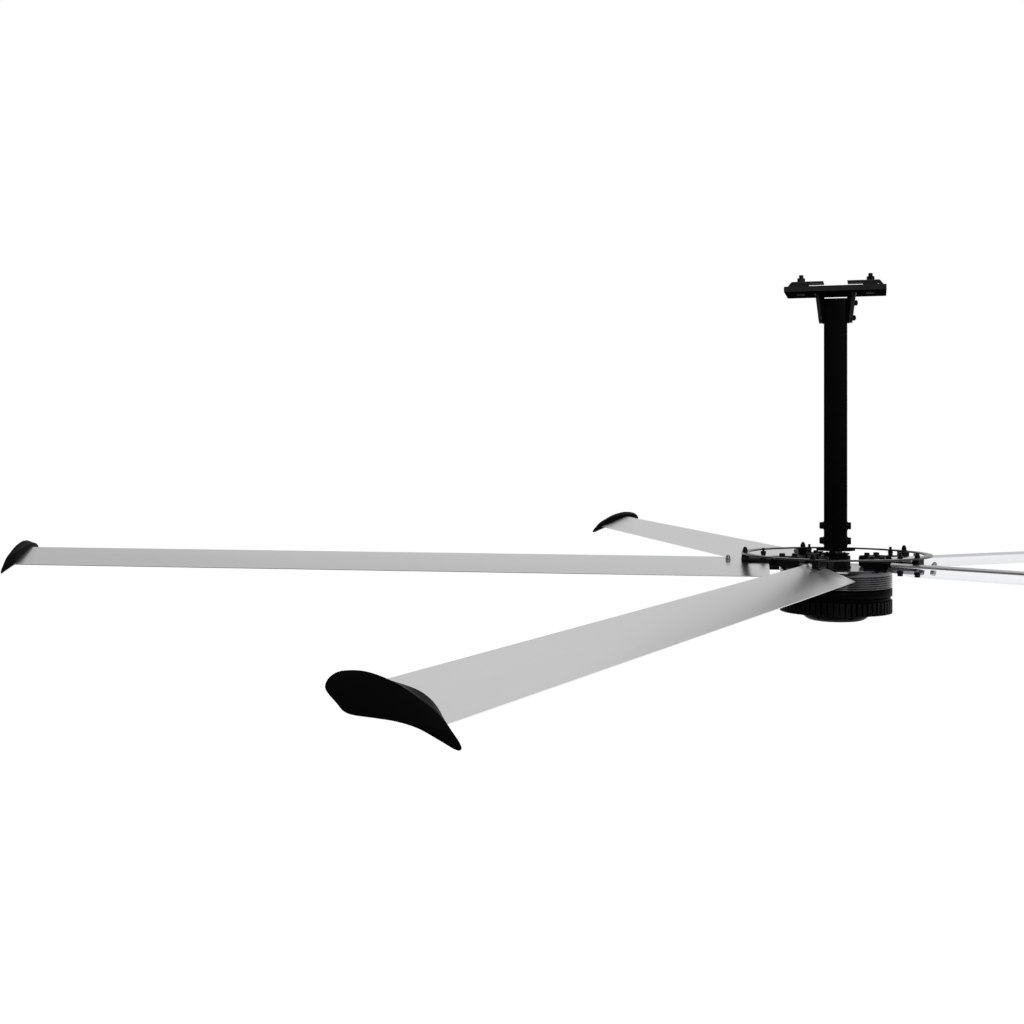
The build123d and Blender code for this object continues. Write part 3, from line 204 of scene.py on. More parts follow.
lamp_rows = (
    ("key_lamp", (3.5, 2.5, 3.0), 3.0, 190.0),
    ("fill_lamp", (-3.5, -2.5, 3.2), 3.5, 120.0),
    ("front_lamp", (1.5, -6.0, 0.5), 2.5, 90.0),
)
fan_middle = Vector((0, 0, cad_box[0][2] * 0.75))
for lamp_name, spot, size, power in lamp_rows:
    lamp_data = bpy.data.lights.new(lamp_name, "AREA")
    lamp_data.size = size
    lamp_data.energy = power
    lamp = bpy.data.objects.new(lamp_name, lamp_data)
    lamp.location = spot
    lamp.rotation_euler = (fan_middle - Vector(spot)).to_track_quat("-Z", "Y").to_euler()
    lamp.visible_glossy = lamp_name == "front_lamp"
    scene.collection.objects.link(lamp)

# Black paint, with worn and painted-highlight edges
# Every painted steel piece wears the same satin black powder coat. Its grain is finer than a
# millimetre. Its sharpest edges turn grey: partly paint rubbed through, partly a painted highlight.

black_tone = (0.0018, 0.0018, 0.0019)
wear_and_highlight_tone = (0.045, 0.045, 0.047)


def value_group(name, inputs, outputs):
    """An empty node group with number inputs and outputs, and its two end nodes."""
    group = bpy.data.node_groups.new(name, "ShaderNodeTree")
    for label, value in inputs:
        socket = group.interface.new_socket(label, in_out="INPUT", socket_type="NodeSocketFloat")
        socket.default_value = value
    for label, kind in outputs:
        group.interface.new_socket(label, in_out="OUTPUT", socket_type=kind)
    return group, group.nodes.new("NodeGroupInput"), group.nodes.new("NodeGroupOutput")


# Where an edge's rounded normal leaves the true one, broken up by noise
edge_wear_and_highlight, ins, outs = value_group(
    "edge_wear_and_highlight", (("Width", 0.0015), ("Amount", 0.6), ("Patch Scale", 60)), (("Mask", "NodeSocketFloat"),)
)
rounded = add_node(edge_wear_and_highlight, "ShaderNodeBevel", samples=4)
facing = add_node(edge_wear_and_highlight, "ShaderNodeNewGeometry")
turned = add_node(edge_wear_and_highlight, "ShaderNodeVectorMath", operation="DOT_PRODUCT")
leaving = add_node(
    edge_wear_and_highlight, "ShaderNodeMapRange", inputs={"From Min": 0.995, "From Max": 0.86, "To Min": 0, "To Max": 1}
)
place = add_node(edge_wear_and_highlight, "ShaderNodeTexCoord")
patches = add_node(edge_wear_and_highlight, "ShaderNodeTexNoise", inputs={"Detail": 5, "Roughness": 0.65})
broken = add_node(
    edge_wear_and_highlight, "ShaderNodeMapRange", inputs={"From Min": 0.38, "From Max": 0.62, "To Min": 0, "To Max": 1}
)
masked = add_node(edge_wear_and_highlight, "ShaderNodeMath", operation="MULTIPLY")
weighed = add_node(edge_wear_and_highlight, "ShaderNodeMath", operation="MULTIPLY", use_clamp=True)
add_links(
    edge_wear_and_highlight,
    (ins.outputs["Width"], rounded.inputs["Radius"]),
    (rounded.outputs["Normal"], turned.inputs[0]),
    (facing.outputs["Normal"], turned.inputs[1]),
    (turned.outputs["Value"], leaving.inputs["Value"]),
    (place.outputs["Object"], patches.inputs["Vector"]),
    (ins.outputs["Patch Scale"], patches.inputs["Scale"]),
    (patches.outputs["Fac"], broken.inputs["Value"]),
    (leaving.outputs["Result"], masked.inputs[0]),
    (broken.outputs["Result"], masked.inputs[1]),
    (masked.outputs[0], weighed.inputs[0]),
    (ins.outputs["Amount"], weighed.inputs[1]),
    (weighed.outputs[0], outs.inputs["Mask"]),
)

# A fine even grain for the bump, and a broad slow one for the roughness
fine_grain, ins, outs = value_group(
    "fine_grain",
    (("Grain Scale", 1500), ("Roughness", 0.5), ("Spread", 0.12)),
    (("Height", "NodeSocketFloat"), ("Roughness", "NodeSocketFloat")),
)
place = add_node(fine_grain, "ShaderNodeTexCoord")
grain = add_node(fine_grain, "ShaderNodeTexNoise", inputs={"Detail": 2})
clouds = add_node(fine_grain, "ShaderNodeTexNoise", inputs={"Scale": 14, "Detail": 4})
centred = add_node(fine_grain, "ShaderNodeMath", operation="SUBTRACT", inputs={1: 0.5})
spread = add_node(fine_grain, "ShaderNodeMath", operation="MULTIPLY_ADD")
add_links(
    fine_grain,
    (place.outputs["Object"], grain.inputs["Vector"]),
    (ins.outputs["Grain Scale"], grain.inputs["Scale"]),
    (grain.outputs["Fac"], outs.inputs["Height"]),
    (place.outputs["Object"], clouds.inputs["Vector"]),
    (clouds.outputs["Fac"], centred.inputs[0]),
    (centred.outputs[0], spread.inputs[0]),
    (ins.outputs["Spread"], spread.inputs[1]),
    (ins.outputs["Roughness"], spread.inputs[2]),
    (spread.outputs[0], outs.inputs["Roughness"]),
)


def new_material(name, **sockets):
    """A material with a Principled shader and the values of its plain sockets."""
    material = bpy.data.materials.new(name)
    material.use_nodes = True
    shader = material.node_tree.nodes["Principled BSDF"]
    for label, value in sockets.items():
        shader.inputs[label.replace("_", " ")].default_value = value
    return material, material.node_tree, shader


def use_group(tree, group, **values):
    """A placed node group with its own values."""
    node = tree.nodes.new("ShaderNodeGroup")
    node.node_tree = group
    for label, value in values.items():
        node.inputs[label.replace("_", " ")].default_value = value
    return node


def bump_from(tree, shader, height, depth):
    """A bump of a depth in metres from a height output."""
    bump = add_node(tree, "ShaderNodeBump", inputs={"Strength": 1, "Distance": depth})
    add_links(tree, (height, bump.inputs["Height"]), (bump.outputs["Normal"], shader.inputs["Normal"]))


def worn_and_highlit_color(tree, shader, base, worn_and_highlit, mask):
    """A base tone that gives way to a lighter edge tone, part wear and part painted highlight, where the mask says."""
    mix = add_node(tree, "ShaderNodeMix", data_type="RGBA")
    mix.inputs["A"].default_value = (*base, 1)
    mix.inputs["B"].default_value = (*worn_and_highlit, 1)
    add_links(tree, (mask, mix.inputs["Factor"]), (mix.outputs["Result"], shader.inputs["Base Color"]))
    return mix


def painted(name, base, worn_and_highlit, roughness, specular, grain_depth, wear_and_highlight_amount=0.6):
    """A painted or cast finish with grain, uneven gloss and edges lightened partly by wear and partly by a painted
    highlight.
    """
    material, tree, shader = new_material(name, Specular_IOR_Level=specular)
    grain_node = use_group(tree, fine_grain, Roughness=roughness)
    wear_and_highlight_node = use_group(tree, edge_wear_and_highlight, Amount=wear_and_highlight_amount)
    add_links(tree, (grain_node.outputs["Roughness"], shader.inputs["Roughness"]))
    bump_from(tree, shader, grain_node.outputs["Height"], grain_depth)
    worn_and_highlit_color(tree, shader, base, worn_and_highlit, wear_and_highlight_node.outputs["Mask"])
    return material


black_paint = painted("black_paint", black_tone, wear_and_highlight_tone, 0.45, 0.0, 0.00003)
plate_paint = painted("plate_paint", (0.0155, 0.0155, 0.016), (0.07, 0.07, 0.072), 0.55, 0.02, 0.00003)
# Lighter and darker copies of the plate's paint: a painted highlight for the slot walls, a painted shade for the
# underside.
slot_wall_painted_highlight = painted("slot_wall_painted_highlight", (0.085, 0.085, 0.086), (0.2, 0.2, 0.2), 0.5, 0.1, 0.00003)
plate_underside_painted_shade = painted("plate_underside_painted_shade", (0.0032, 0.0032, 0.0033), wear_and_highlight_tone, 0.6, 0.0, 0.00003)


# Mounting plate
# A thick steel plate under the roof beam, painted black. Two slots take the ends of the clamp studs,
# and a threaded block is welded over each slot.

plate_width, plate_depth, plate_thick = 0.340, 0.240, 0.018
plate_corner = 0.010
slot_width, slot_length = 0.028, 0.054
stud_x = 0.117
block_width, block_length, block_height = 0.050, 0.090, 0.019
stud_hole = 0.0085
weld_size = 0.0045
edge_round = 0.0008


def arc_points(center, radius, start, end, steps):
    """Points along an arc, with angles in degrees."""
    return [
        (
            center[0] + radius * cos(radians(start + (end - start) * step / steps)),
            center[1] + radius * sin(radians(start + (end - start) * step / steps)),
        )
        for step in range(steps + 1)
    ]


def rounded_box(width, depth, corner, steps=5, center=(0, 0)):
    """A rectangle's outline with rounded corners."""
    x, y = width / 2 - corner, depth / 2 - corner
    corners = ((x, y, 0), (-x, y, 90), (-x, -y, 180), (x, -y, 270))
    points = []
    for cx, cy, start in corners:
        points += arc_points((center[0] + cx, center[1] + cy), corner, start, start + 90, steps)
    return points


def circle(radius, steps=32, center=(0, 0)):
    """A circle's outline."""
    return arc_points(center, radius, 0, 360, steps)[:-1]


def add_prism(bm, outline, low, high, holes=(), place=None):
    """A flat plate between two heights, from its outline and its holes' outlines."""
    place = place or Matrix()
    edges = []
    for loop in (outline, *holes):
        ring = [bm.verts.new((*point, low)) for point in loop]
        edges += [bm.edges.new((ring[i - 1], ring[i])) for i in range(len(ring))]
    faces = [
        item
        for item in bmesh.ops.triangle_fill(bm, edges=edges, use_beauty=True)["geom"]
        if isinstance(item, bmesh.types.BMFace)
    ]
    flat = [face.edges for face in faces]
    inner = {edge for group in flat for edge in group if len(edge.link_faces) == 2}
    kept = bmesh.ops.dissolve_limit(
        bm, angle_limit=0.01, edges=list(inner), verts=list({v for f in faces for v in f.verts})
    )["region"]
    faces = [item for item in kept if isinstance(item, bmesh.types.BMFace)]
    raised = bmesh.ops.extrude_face_region(bm, geom=faces)["geom"]
    top = [item for item in raised if isinstance(item, bmesh.types.BMVert)]
    bmesh.ops.translate(bm, verts=top, vec=(0, 0, high - low))
    bottom = {v for e in edges if e.is_valid for v in e.verts}
    moved = set(top) | bottom | {v for f in faces if f.is_valid for v in f.verts}
    bmesh.ops.transform(bm, matrix=place, verts=list(moved))


def set_piece(name, bm, material, body, replaced=(), round_edges=edge_round, smooth=True):
    """Makes the finished object from its mesh, on its body, in the place of the CAD solids it stands for."""
    bmesh.ops.recalc_face_normals(bm, faces=bm.faces[:])
    mesh = bpy.data.meshes.new(name)
    bm.to_mesh(mesh)
    bm.free()
    mesh.materials.append(material)
    piece = bpy.data.objects.new(name, mesh)
    scene.collection.objects.link(piece)
    if smooth:
        mesh.polygons.foreach_set("use_smooth", [True] * len(mesh.polygons))
    if round_edges:
        bevel = piece.modifiers.new("rounded_edges", "BEVEL")
        bevel.width = round_edges
        bevel.segments = 2
        bevel.limit_method = "ANGLE"
        bevel.angle_limit = radians(34)
        bevel.harden_normals = True
    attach(piece, body)
    if replaced:
        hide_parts(*replaced)
    return piece


def add_weld(bm, path, size, closed=False):
    """A rippled weld bead along a path, sunk to its middle in the corner it fills."""
    sides = 8
    points = []
    count = len(path)
    for index in range(count if closed else count - 1):
        start, end = Vector(path[index]), Vector(path[(index + 1) % count])
        steps = max(1, round((end - start).length / (size * 0.45)))
        points += [start.lerp(end, step / steps) for step in range(steps)]
    if not closed:
        points.append(Vector(path[-1]))
    rings = []
    for index, point in enumerate(points):
        before = points[index - 1] if index or closed else point
        after = points[(index + 1) % len(points)] if index + 1 < len(points) or closed else point
        along = (after - before).normalized()
        side = along.orthogonal().normalized()
        up = along.cross(side)
        radius = size * (1.0 + 0.10 * (-1) ** index)
        ring = []
        for step in range(sides):
            turn = 2 * pi * step / sides
            ring.append(bm.verts.new(point + (side * cos(turn) + up * sin(turn)) * radius))
        rings.append(ring)
    pairs = list(zip(rings, rings[1:]))
    if closed:
        pairs.append((rings[-1], rings[0]))
    for first, second in pairs:
        shift = min(range(sides), key=lambda k: (first[0].co - second[k].co).length)
        for step in range(sides):
            bm.faces.new((
                first[step], first[(step + 1) % sides],
                second[(step + 1 + shift) % sides], second[(step + shift) % sides],
            ))
    if not closed:
        bm.faces.new(rings[0])
        bm.faces.new(rings[-1])


bm = bmesh.new()
slots = []
for side in (-1, 1):
    end = slot_length / 2 - slot_width / 2
    slots.append(
        arc_points((side * stud_x, end), slot_width / 2, 0, 180, 12)
        + arc_points((side * stud_x, -end), slot_width / 2, 180, 360, 12)
    )
add_prism(bm, rounded_box(plate_width, plate_depth, plate_corner), -plate_thick, 0, slots)
for side in (-1, 1):
    add_prism(
        bm,
        rounded_box(block_width, block_length, 0.002, 2, (side * stud_x, 0)),
        0,
        block_height,
        [circle(stud_hole, 24, (side * stud_x, 0))],
    )
plate = set_piece("mounting_plate_painted", bm, plate_paint, "frame", ["mounting_plate"])
# The underside faces take the darker copy, a painted shade, and the slot walls the lighter one, a painted highlight.
plate.data.materials.append(plate_underside_painted_shade)
plate.data.materials.append(slot_wall_painted_highlight)
for face in plate.data.polygons:
    if face.normal.z < -0.9 and face.center.z < -plate_thick * 0.9:
        face.material_index = 1
    elif abs(face.normal.z) < 0.5 and abs(face.center.x) < 0.14 and abs(face.center.y) < 0.03 and face.center.z < 0:
        face.material_index = 2

bm = bmesh.new()
for side in (-1, 1):
    x0, x1 = side * stud_x - block_width / 2, side * stud_x + block_width / 2
    y = block_length / 2
    add_weld(bm, [(x0, -y, 0), (x1, -y, 0), (x1, y, 0), (x0, y, 0)], weld_size * 0.6, closed=True)
set_piece("block_welds", bm, plate_paint, "frame", round_edges=0)


# Beam clamps
# Two jaws cut from flat bar and bent down at their outer ends. They press the beam's flange on to the
# plate, and each stands on its bent heel.

clamp_width, clamp_thick = 0.090, 0.005
clamp_inner_x = 0.040
clamp_heel_x, clamp_heel_run = 0.163, 0.020
jaw_height = 0.019
heel_depth = 0.001
# The clamps' black is lighter than the other black paint: a painted reflection of the pale floor on their undersides.
clamp_paint = painted("clamp_paint", (0.016, 0.016, 0.0165), wear_and_highlight_tone, 0.45, 0.2, 0.00003)

for side, label in ((-1, "beam_clamp_left"), (1, "beam_clamp_right")):
    profile = [
        (clamp_inner_x, jaw_height),
        (clamp_heel_x - clamp_heel_run, jaw_height),
        (clamp_heel_x, -heel_depth),
        (clamp_heel_x + clamp_thick, -heel_depth),
        (clamp_heel_x - clamp_heel_run + 0.006, jaw_height + clamp_thick - 0.0015),
        (clamp_heel_x - clamp_heel_run + 0.003, jaw_height + clamp_thick - 0.0002),
        (clamp_heel_x - clamp_heel_run, jaw_height + clamp_thick),
        (clamp_inner_x, jaw_height + clamp_thick),
    ]
    stand = Matrix(((side, 0, 0, 0), (0, 0, 1, 0), (0, 1, 0, 0), (0, 0, 0, 1)))
    bm = bmesh.new()
    add_prism(bm, profile, -clamp_width / 2, clamp_width / 2, place=stand)
    set_piece(label + "_bent", bm, clamp_paint, "frame", [label], 0.0012)


# Clamp studs, nuts and washers
# M16 hardware in black oxide. Each stud ends inside the plate's slot and passes through the block, the
# clamp, a washer and a nut. The same washers sit under the tube bolts' heads and nuts.

m16_flats, m16_nut, m16_head = 0.024, 0.013, 0.010
m16_washer, m16_washer_thick = 0.030, 0.003
m16_pitch = 0.002
stud_low, stud_high = -0.009, 0.051
clamp_top = jaw_height + clamp_thick
nut_seat = clamp_top + m16_washer_thick
tube_size = 0.078
tube_bolt_heights = (-0.827, -0.8795)
black_oxide = painted("black_oxide", (0.0022, 0.0022, 0.0023), (0.04, 0.04, 0.041), 0.38, 0.10, 0.00001)


def add_turned(bm, rings, steps=36, place=None, closed=False):
    """A turned body from rings that run up its axis. A ring is a radius and a height, or a function of
    the angle that gives both. A radius of nothing closes the body at its axis."""
    place = place or Matrix()
    loops = []
    for ring in rings:
        if not callable(ring) and ring[0] == 0:
            loops.append([bm.verts.new(place @ Vector((0, 0, ring[1])))])
            continue
        loop = []
        for step in range(steps):
            turn = 2 * pi * step / steps
            radius, height = ring(turn) if callable(ring) else ring
            loop.append(bm.verts.new(place @ Vector((radius * cos(turn), radius * sin(turn), height))))
        loops.append(loop)
    pairs = list(zip(loops, loops[1:]))
    if closed:
        pairs.append((loops[-1], loops[0]))
    for first, second in pairs:
        for step in range(steps):
            after = (step + 1) % steps
            corners = [first[step % len(first)], first[after % len(first)]]
            corners += [second[after % len(second)], second[step % len(second)]]
            corners = list(dict.fromkeys(corners))
            if len(corners) > 2:
                bm.faces.new(corners)


def hex_rings(flats, low, high, chamfer_top=True, chamfer_bottom=False):
    """The side of a hexagon, with its corners cut back at thirty degrees at the top or the bottom."""
    inner = flats / 2 * 0.96

    def across(turn):
        return flats / 2 / cos((turn + pi / 6) % (pi / 3) - pi / 6)

    def edge(level, cut, down):
        def ring(turn):
            drop = (across(turn) - inner) * tan(radians(30)) if cut else 0
            return across(turn), level - drop if down else level + drop
        return ring

    rings = [(inner, low)] if chamfer_bottom else []
    rings += [edge(low, chamfer_bottom, False), edge(high, chamfer_top, True)]
    rings += [(inner, high)] if chamfer_top else []
    return rings


def add_nut(bm, flats, bore, low, high, place=None):
    """A plain hex nut with a countersunk bore."""
    sink = bore * 1.12
    rings = [(bore, low + 0.001), (sink, low)] + hex_rings(flats, low, high, True, True)
    rings += [(sink, high), (bore, high - 0.001)]
    add_turned(bm, rings, place=place, closed=True)


def thread_rings(radius, low, high, pitch):
    """The zigzag profile of a thread between two heights, run out at the top to a chamfer."""
    depth = pitch * 0.5
    turns = int((high - low - depth) / pitch)
    rings = []
    for turn in range(turns):
        base = low + turn * pitch
        rings += [(radius, base), (radius, base + pitch * 0.15)]
        rings += [(radius - depth, base + pitch * 0.5), (radius - depth, base + pitch * 0.65)]
    rings += [(radius, low + turns * pitch), (radius, high - depth), (radius - depth, high), (0, high)]
    return rings


bm = bmesh.new()
for side in (-1, 1):
    rings = [(0, stud_low), (0.0072, stud_low)]
    rings += [(0.008, stud_low + 0.0012), (0.008, nut_seat + m16_nut - 0.002)]
    rings += thread_rings(0.008, nut_seat + m16_nut - 0.001, stud_high, m16_pitch)
    add_turned(bm, rings, 24, Matrix.Translation((side * stud_x, 0, 0)))
set_piece("clamp_studs_threaded", bm, black_oxide, "frame", ["clamp_studs"], 0)

bm = bmesh.new()
for side in (-1, 1):
    spin = Matrix.Translation((side * stud_x, 0, 0)) @ Matrix.Rotation(radians(17 * side), 4, "Z")
    add_nut(bm, m16_flats, 0.0083, nut_seat, nut_seat + m16_nut, spin)
set_piece("clamp_nuts_chamfered", bm, black_oxide, "frame", ["clamp_nuts"], 0.0003)


def side_place(side, height):
    """A place on the fan's left or right side, with its axis pointing outwards along X."""
    return Matrix.Translation((0, 0, height)) @ Matrix.Rotation(side * pi / 2, 4, "Y")


def add_washer(bm, radius, bore, low, high, place=None):
    """A flat washer with slightly rounded rims."""
    soft = (high - low) * 0.22
    rings = [(bore, low), (radius - soft, low), (radius, low + soft), (radius, high - soft)]
    add_turned(bm, rings + [(radius - soft, high), (bore, high)], 48, place, closed=True)


bm = bmesh.new()
for side in (-1, 1):
    add_washer(bm, m16_washer / 2, 0.0085, clamp_top, nut_seat, Matrix.Translation((side * stud_x, 0, 0)))
    for height in tube_bolt_heights:
        add_washer(
            bm, m16_washer / 2, 0.0085, tube_size / 2, tube_size / 2 + m16_washer_thick,
            side_place(side, height),
        )
set_piece("plain_washers_rounded", bm, black_oxide, "frame", ["plain_washers"], 0)
# Yoke ears and packers
# Two steel ears welded under the plate lean in to the tube. A wedge-shaped packer fills the space
# between each ear and the tube. The right ear has spot faces for the nuts, the left one countersinks.

ear_thick, ear_width, ear_corner = 0.011, 0.070, 0.014
ear_top_x, ear_bottom_x = 0.057, 0.045
ear_top, ear_bottom = -plate_thick, -0.119
ear_bolt_heights = (-0.051, -0.103)
ear_lean = (ear_top_x - ear_bottom_x) / (ear_top - ear_bottom)
spot_radius, sink_radius = 0.013, 0.0125
seat_depth = 0.0005 + spot_radius * ear_lean
# The ears' edges turn a much lighter grey than the other black parts: partly wear, partly a painted highlight on their
# lit edges.
ear_paint = painted("ear_paint", (0.0095, 0.0095, 0.0098), (0.20, 0.20, 0.203), 0.42, 0.08, 0.00003, 1.0)


def ear_face(height, layer=0.0):
    """How far the ear's inner face, or a layer further out, stands from the fan's axis at a height."""
    return ear_top_x + (height - ear_top) * ear_lean + layer


def lean_out(side, layer):
    """The slanted place of an ear's outline: its flat X and Y become the fan's Y and height."""
    start = side * (ear_face(0) + layer)
    return Matrix(((0, side * ear_lean, side, start), (1, 0, 0, 0), (0, 1, 0, 0), (0, 0, 0, 1)))


half_width = ear_width / 2
ear_outline = [
    (-half_width, ear_top), (-half_width, ear_bottom + ear_corner), (-half_width + ear_corner, ear_bottom),
    (half_width - ear_corner, ear_bottom), (half_width, ear_bottom + ear_corner), (half_width, ear_top),
]
for side, label, hole in ((-1, "yoke_ear_left", sink_radius), (1, "yoke_ear_right", spot_radius)):
    bm = bmesh.new()
    holes = [circle(hole, 32, (0, height)) for height in ear_bolt_heights]
    add_prism(bm, ear_outline, 0, ear_thick, holes, lean_out(side, 0))
    for height in ear_bolt_heights:
        seat = ear_face(height, ear_thick) - seat_depth
        add_turned(bm, [(0.0065, seat - 0.004), (hole + 0.0002, seat - 0.004), (hole + 0.0002, seat)]
                   + [(0.0065, seat if side > 0 else seat - 0.004)], 32, side_place(side, height), closed=True)
    for layer in (0, ear_thick):
        x = side * ear_face(ear_top, layer)
        add_weld(bm, [(x, -half_width, ear_top), (x, half_width, ear_top)], weld_size * 0.6)
    set_piece(label + "_welded", bm, ear_paint, "frame", [label], 0.0010)

bm = bmesh.new()
for side in (-1, 1):
    wedge = [
        (side * tube_size / 2, ear_top), (side * ear_face(ear_top), ear_top),
        (side * ear_face(ear_bottom), ear_bottom), (side * tube_size / 2, ear_bottom),
    ]
    stand = Matrix(((1, 0, 0, 0), (0, 0, 1, 0), (0, 1, 0, 0), (0, 0, 0, 1)))
    add_prism(bm, wedge, -half_width, half_width, place=stand)
set_piece("yoke_packers_wedged", bm, black_paint, "frame", ["yoke_packers"], 0.0006)


# Yoke bolts and nuts
# Two M12 bolts cross the tube. Their flush heads sit in the left ear, with a hex key's socket, and
# their nuts stand on the right ear with two threads showing.

m12_flats, m12_nut, m12_head = 0.018, 0.0108, 0.0075
m12_washer, m12_washer_thick = 0.024, 0.0025
m12_key = 0.008

bm = bmesh.new()
for height in ear_bolt_heights:
    seat = ear_face(height, ear_thick) - seat_depth
    socket = 0.004
    rings = [(0, seat - socket), (m12_key * 0.55, seat - socket)]
    rings += [lambda turn, s=seat: (m12_key / 2 / cos((turn + pi / 6) % (pi / 3) - pi / 6), s)]
    rings += [(0.0114, seat), (0.012, seat - 0.0006), (0.006, seat - 0.0066), (0.006, 0), (0, 0)]
    add_turned(bm, rings, 36, side_place(-1, height))
    end = seat + m12_nut
    rings = [(0, 0), (0.006, 0), (0.006, end - 0.001)] + thread_rings(0.006, end - 0.0009, end + 0.002, 0.00175)
    add_turned(bm, rings, 24, side_place(1, height))
set_piece("yoke_bolts_flush", bm, black_oxide, "frame", ["yoke_bolts"], 0)

bm = bmesh.new()
for height in ear_bolt_heights:
    seat = ear_face(height, ear_thick) - seat_depth
    add_nut(bm, m12_flats, 0.0063, seat, seat + m12_nut, side_place(1, height))
set_piece("yoke_nuts_chamfered", bm, black_oxide, "frame", ["yoke_nuts"], 0.0003)


# Down tube
# A square steel tube, painted black, with rounded corners and an open upper end below the plate. It
# is cross-drilled for the yoke bolts and for the two large bolts at its lower end.

tube_wall, tube_corner = 0.005, 0.008
tube_top, tube_bottom = -0.0365, -0.9035
tube_paint = painted("tube_paint", (0.0008, 0.0008, 0.0008), (0.010, 0.010, 0.0103), 0.34, 0.02, 0.00002, 0.4)

bm = bmesh.new()
bore = rounded_box(tube_size - 2 * tube_wall, tube_size - 2 * tube_wall, tube_corner - tube_wall, 4)
add_prism(bm, rounded_box(tube_size, tube_size, tube_corner, 8), tube_bottom, tube_top, [bore])
set_piece("down_tube_painted", bm, tube_paint, "frame", ["down_tube"], 0.0006)


# Spigot
# A square block inside the tube's lower end, welded to a thin round flange. A few millimetres of the
# block show between the tube and the weld.

spigot_size, spigot_corner = 0.0674, 0.003
spigot_top, flange_top, flange_bottom = -0.8035, -0.907, -0.9125
flange_radius = 0.066
shaft_radius = 0.0225

bm = bmesh.new()
shaft_hole = [circle(shaft_radius + 0.0001, 48)]
add_prism(bm, rounded_box(spigot_size, spigot_size, spigot_corner, 4), flange_top, spigot_top, shaft_hole)
add_prism(bm, circle(flange_radius, 72), flange_bottom, flange_top, shaft_hole)
corner = spigot_size / 2
path = [(x, y, flange_top) for x, y in rounded_box(2 * corner, 2 * corner, 0.006, 3)]
add_weld(bm, path, weld_size * 0.7, closed=True)
set_piece("tube_spigot_welded", bm, black_paint, "frame", ["tube_spigot"], 0.0004)


# Tube bolts and lock nuts
# Two M16 bolts pin the tube, the spigot and the motor's shaft together. Their heads are on the right,
# and lock nuts with a raised collar are on the left.

lock_nut_height = 0.013
washer_face = tube_size / 2 + m16_washer_thick

bm = bmesh.new()
for height in tube_bolt_heights:
    head = hex_rings(m16_flats, washer_face, washer_face + m16_head, True, False)
    rings = [(0, 0), (0.008, 0), (0.008, washer_face)] + head + [(0, washer_face + m16_head)]
    add_turned(bm, rings, place=side_place(1, height))
    end = washer_face + lock_nut_height
    rings = [(0, 0), (0.008, 0), (0.008, end - 0.004)] + thread_rings(0.008, end - 0.0039, end - 0.001, 0.002)
    add_turned(bm, rings, 24, side_place(-1, height))
set_piece("tube_bolts_headed", bm, black_oxide, "frame", ["tube_bolts"], 0.0003)

bm = bmesh.new()
for height in tube_bolt_heights:
    shoulder = washer_face + lock_nut_height - 0.0035
    rings = [(0.0083, washer_face)] + hex_rings(m16_flats, washer_face, shoulder, True, True)
    rings += [(0.0108, shoulder), (0.0106, shoulder + 0.0025), (0.0098, shoulder + 0.0035)]
    add_turned(bm, rings + [(0.0083, shoulder + 0.0033)], place=side_place(-1, height), closed=True)
set_piece("tube_lock_nuts", bm, black_oxide, "frame", ["tube_nuts"], 0.0003)


# Shaft and bearings
# The still shaft of turned steel hangs in the spigot and passes down through the motor. Two ground
# bearings, inside the column and the shell's hub, carry the rotor on it.

turning_lines, ins, outs = value_group(
    "turning_lines", (("Line Scale", 900), ("Roughness", 0.3), ("Spread", 0.15)),
    (("Height", "NodeSocketFloat"), ("Roughness", "NodeSocketFloat"), ("Shade", "NodeSocketFloat")),
)
place = add_node(turning_lines, "ShaderNodeTexCoord")
split_place = add_node(turning_lines, "ShaderNodeSeparateXYZ")
squares = [add_node(turning_lines, "ShaderNodeMath", operation="MULTIPLY") for axis in "xy"]
added = add_node(turning_lines, "ShaderNodeMath", operation="ADD")
radius = add_node(turning_lines, "ShaderNodeMath", operation="SQRT")
across = add_node(turning_lines, "ShaderNodeCombineXYZ")
lines = add_node(turning_lines, "ShaderNodeTexNoise", inputs={"Detail": 3, "Roughness": 0.6})
centred = add_node(turning_lines, "ShaderNodeMath", operation="SUBTRACT", inputs={1: 0.5})
spread = add_node(turning_lines, "ShaderNodeMath", operation="MULTIPLY_ADD")
add_links(
    turning_lines,
    (place.outputs["Object"], split_place.inputs[0]),
    (split_place.outputs["X"], squares[0].inputs[0]),
    (split_place.outputs["X"], squares[0].inputs[1]),
    (split_place.outputs["Y"], squares[1].inputs[0]),
    (split_place.outputs["Y"], squares[1].inputs[1]),
    (squares[0].outputs[0], added.inputs[0]),
    (squares[1].outputs[0], added.inputs[1]),
    (added.outputs[0], radius.inputs[0]),
    (radius.outputs[0], across.inputs["X"]),
    (split_place.outputs["Z"], across.inputs["Z"]),
    (across.outputs[0], lines.inputs["Vector"]),
    (ins.outputs["Line Scale"], lines.inputs["Scale"]),
    (lines.outputs["Fac"], outs.inputs["Height"]),
    (lines.outputs["Fac"], outs.inputs["Shade"]),
    (lines.outputs["Fac"], centred.inputs[0]),
    (centred.outputs[0], spread.inputs[0]),
    (ins.outputs["Spread"], spread.inputs[1]),
    (ins.outputs["Roughness"], spread.inputs[2]),
    (spread.outputs[0], outs.inputs["Roughness"]),
)


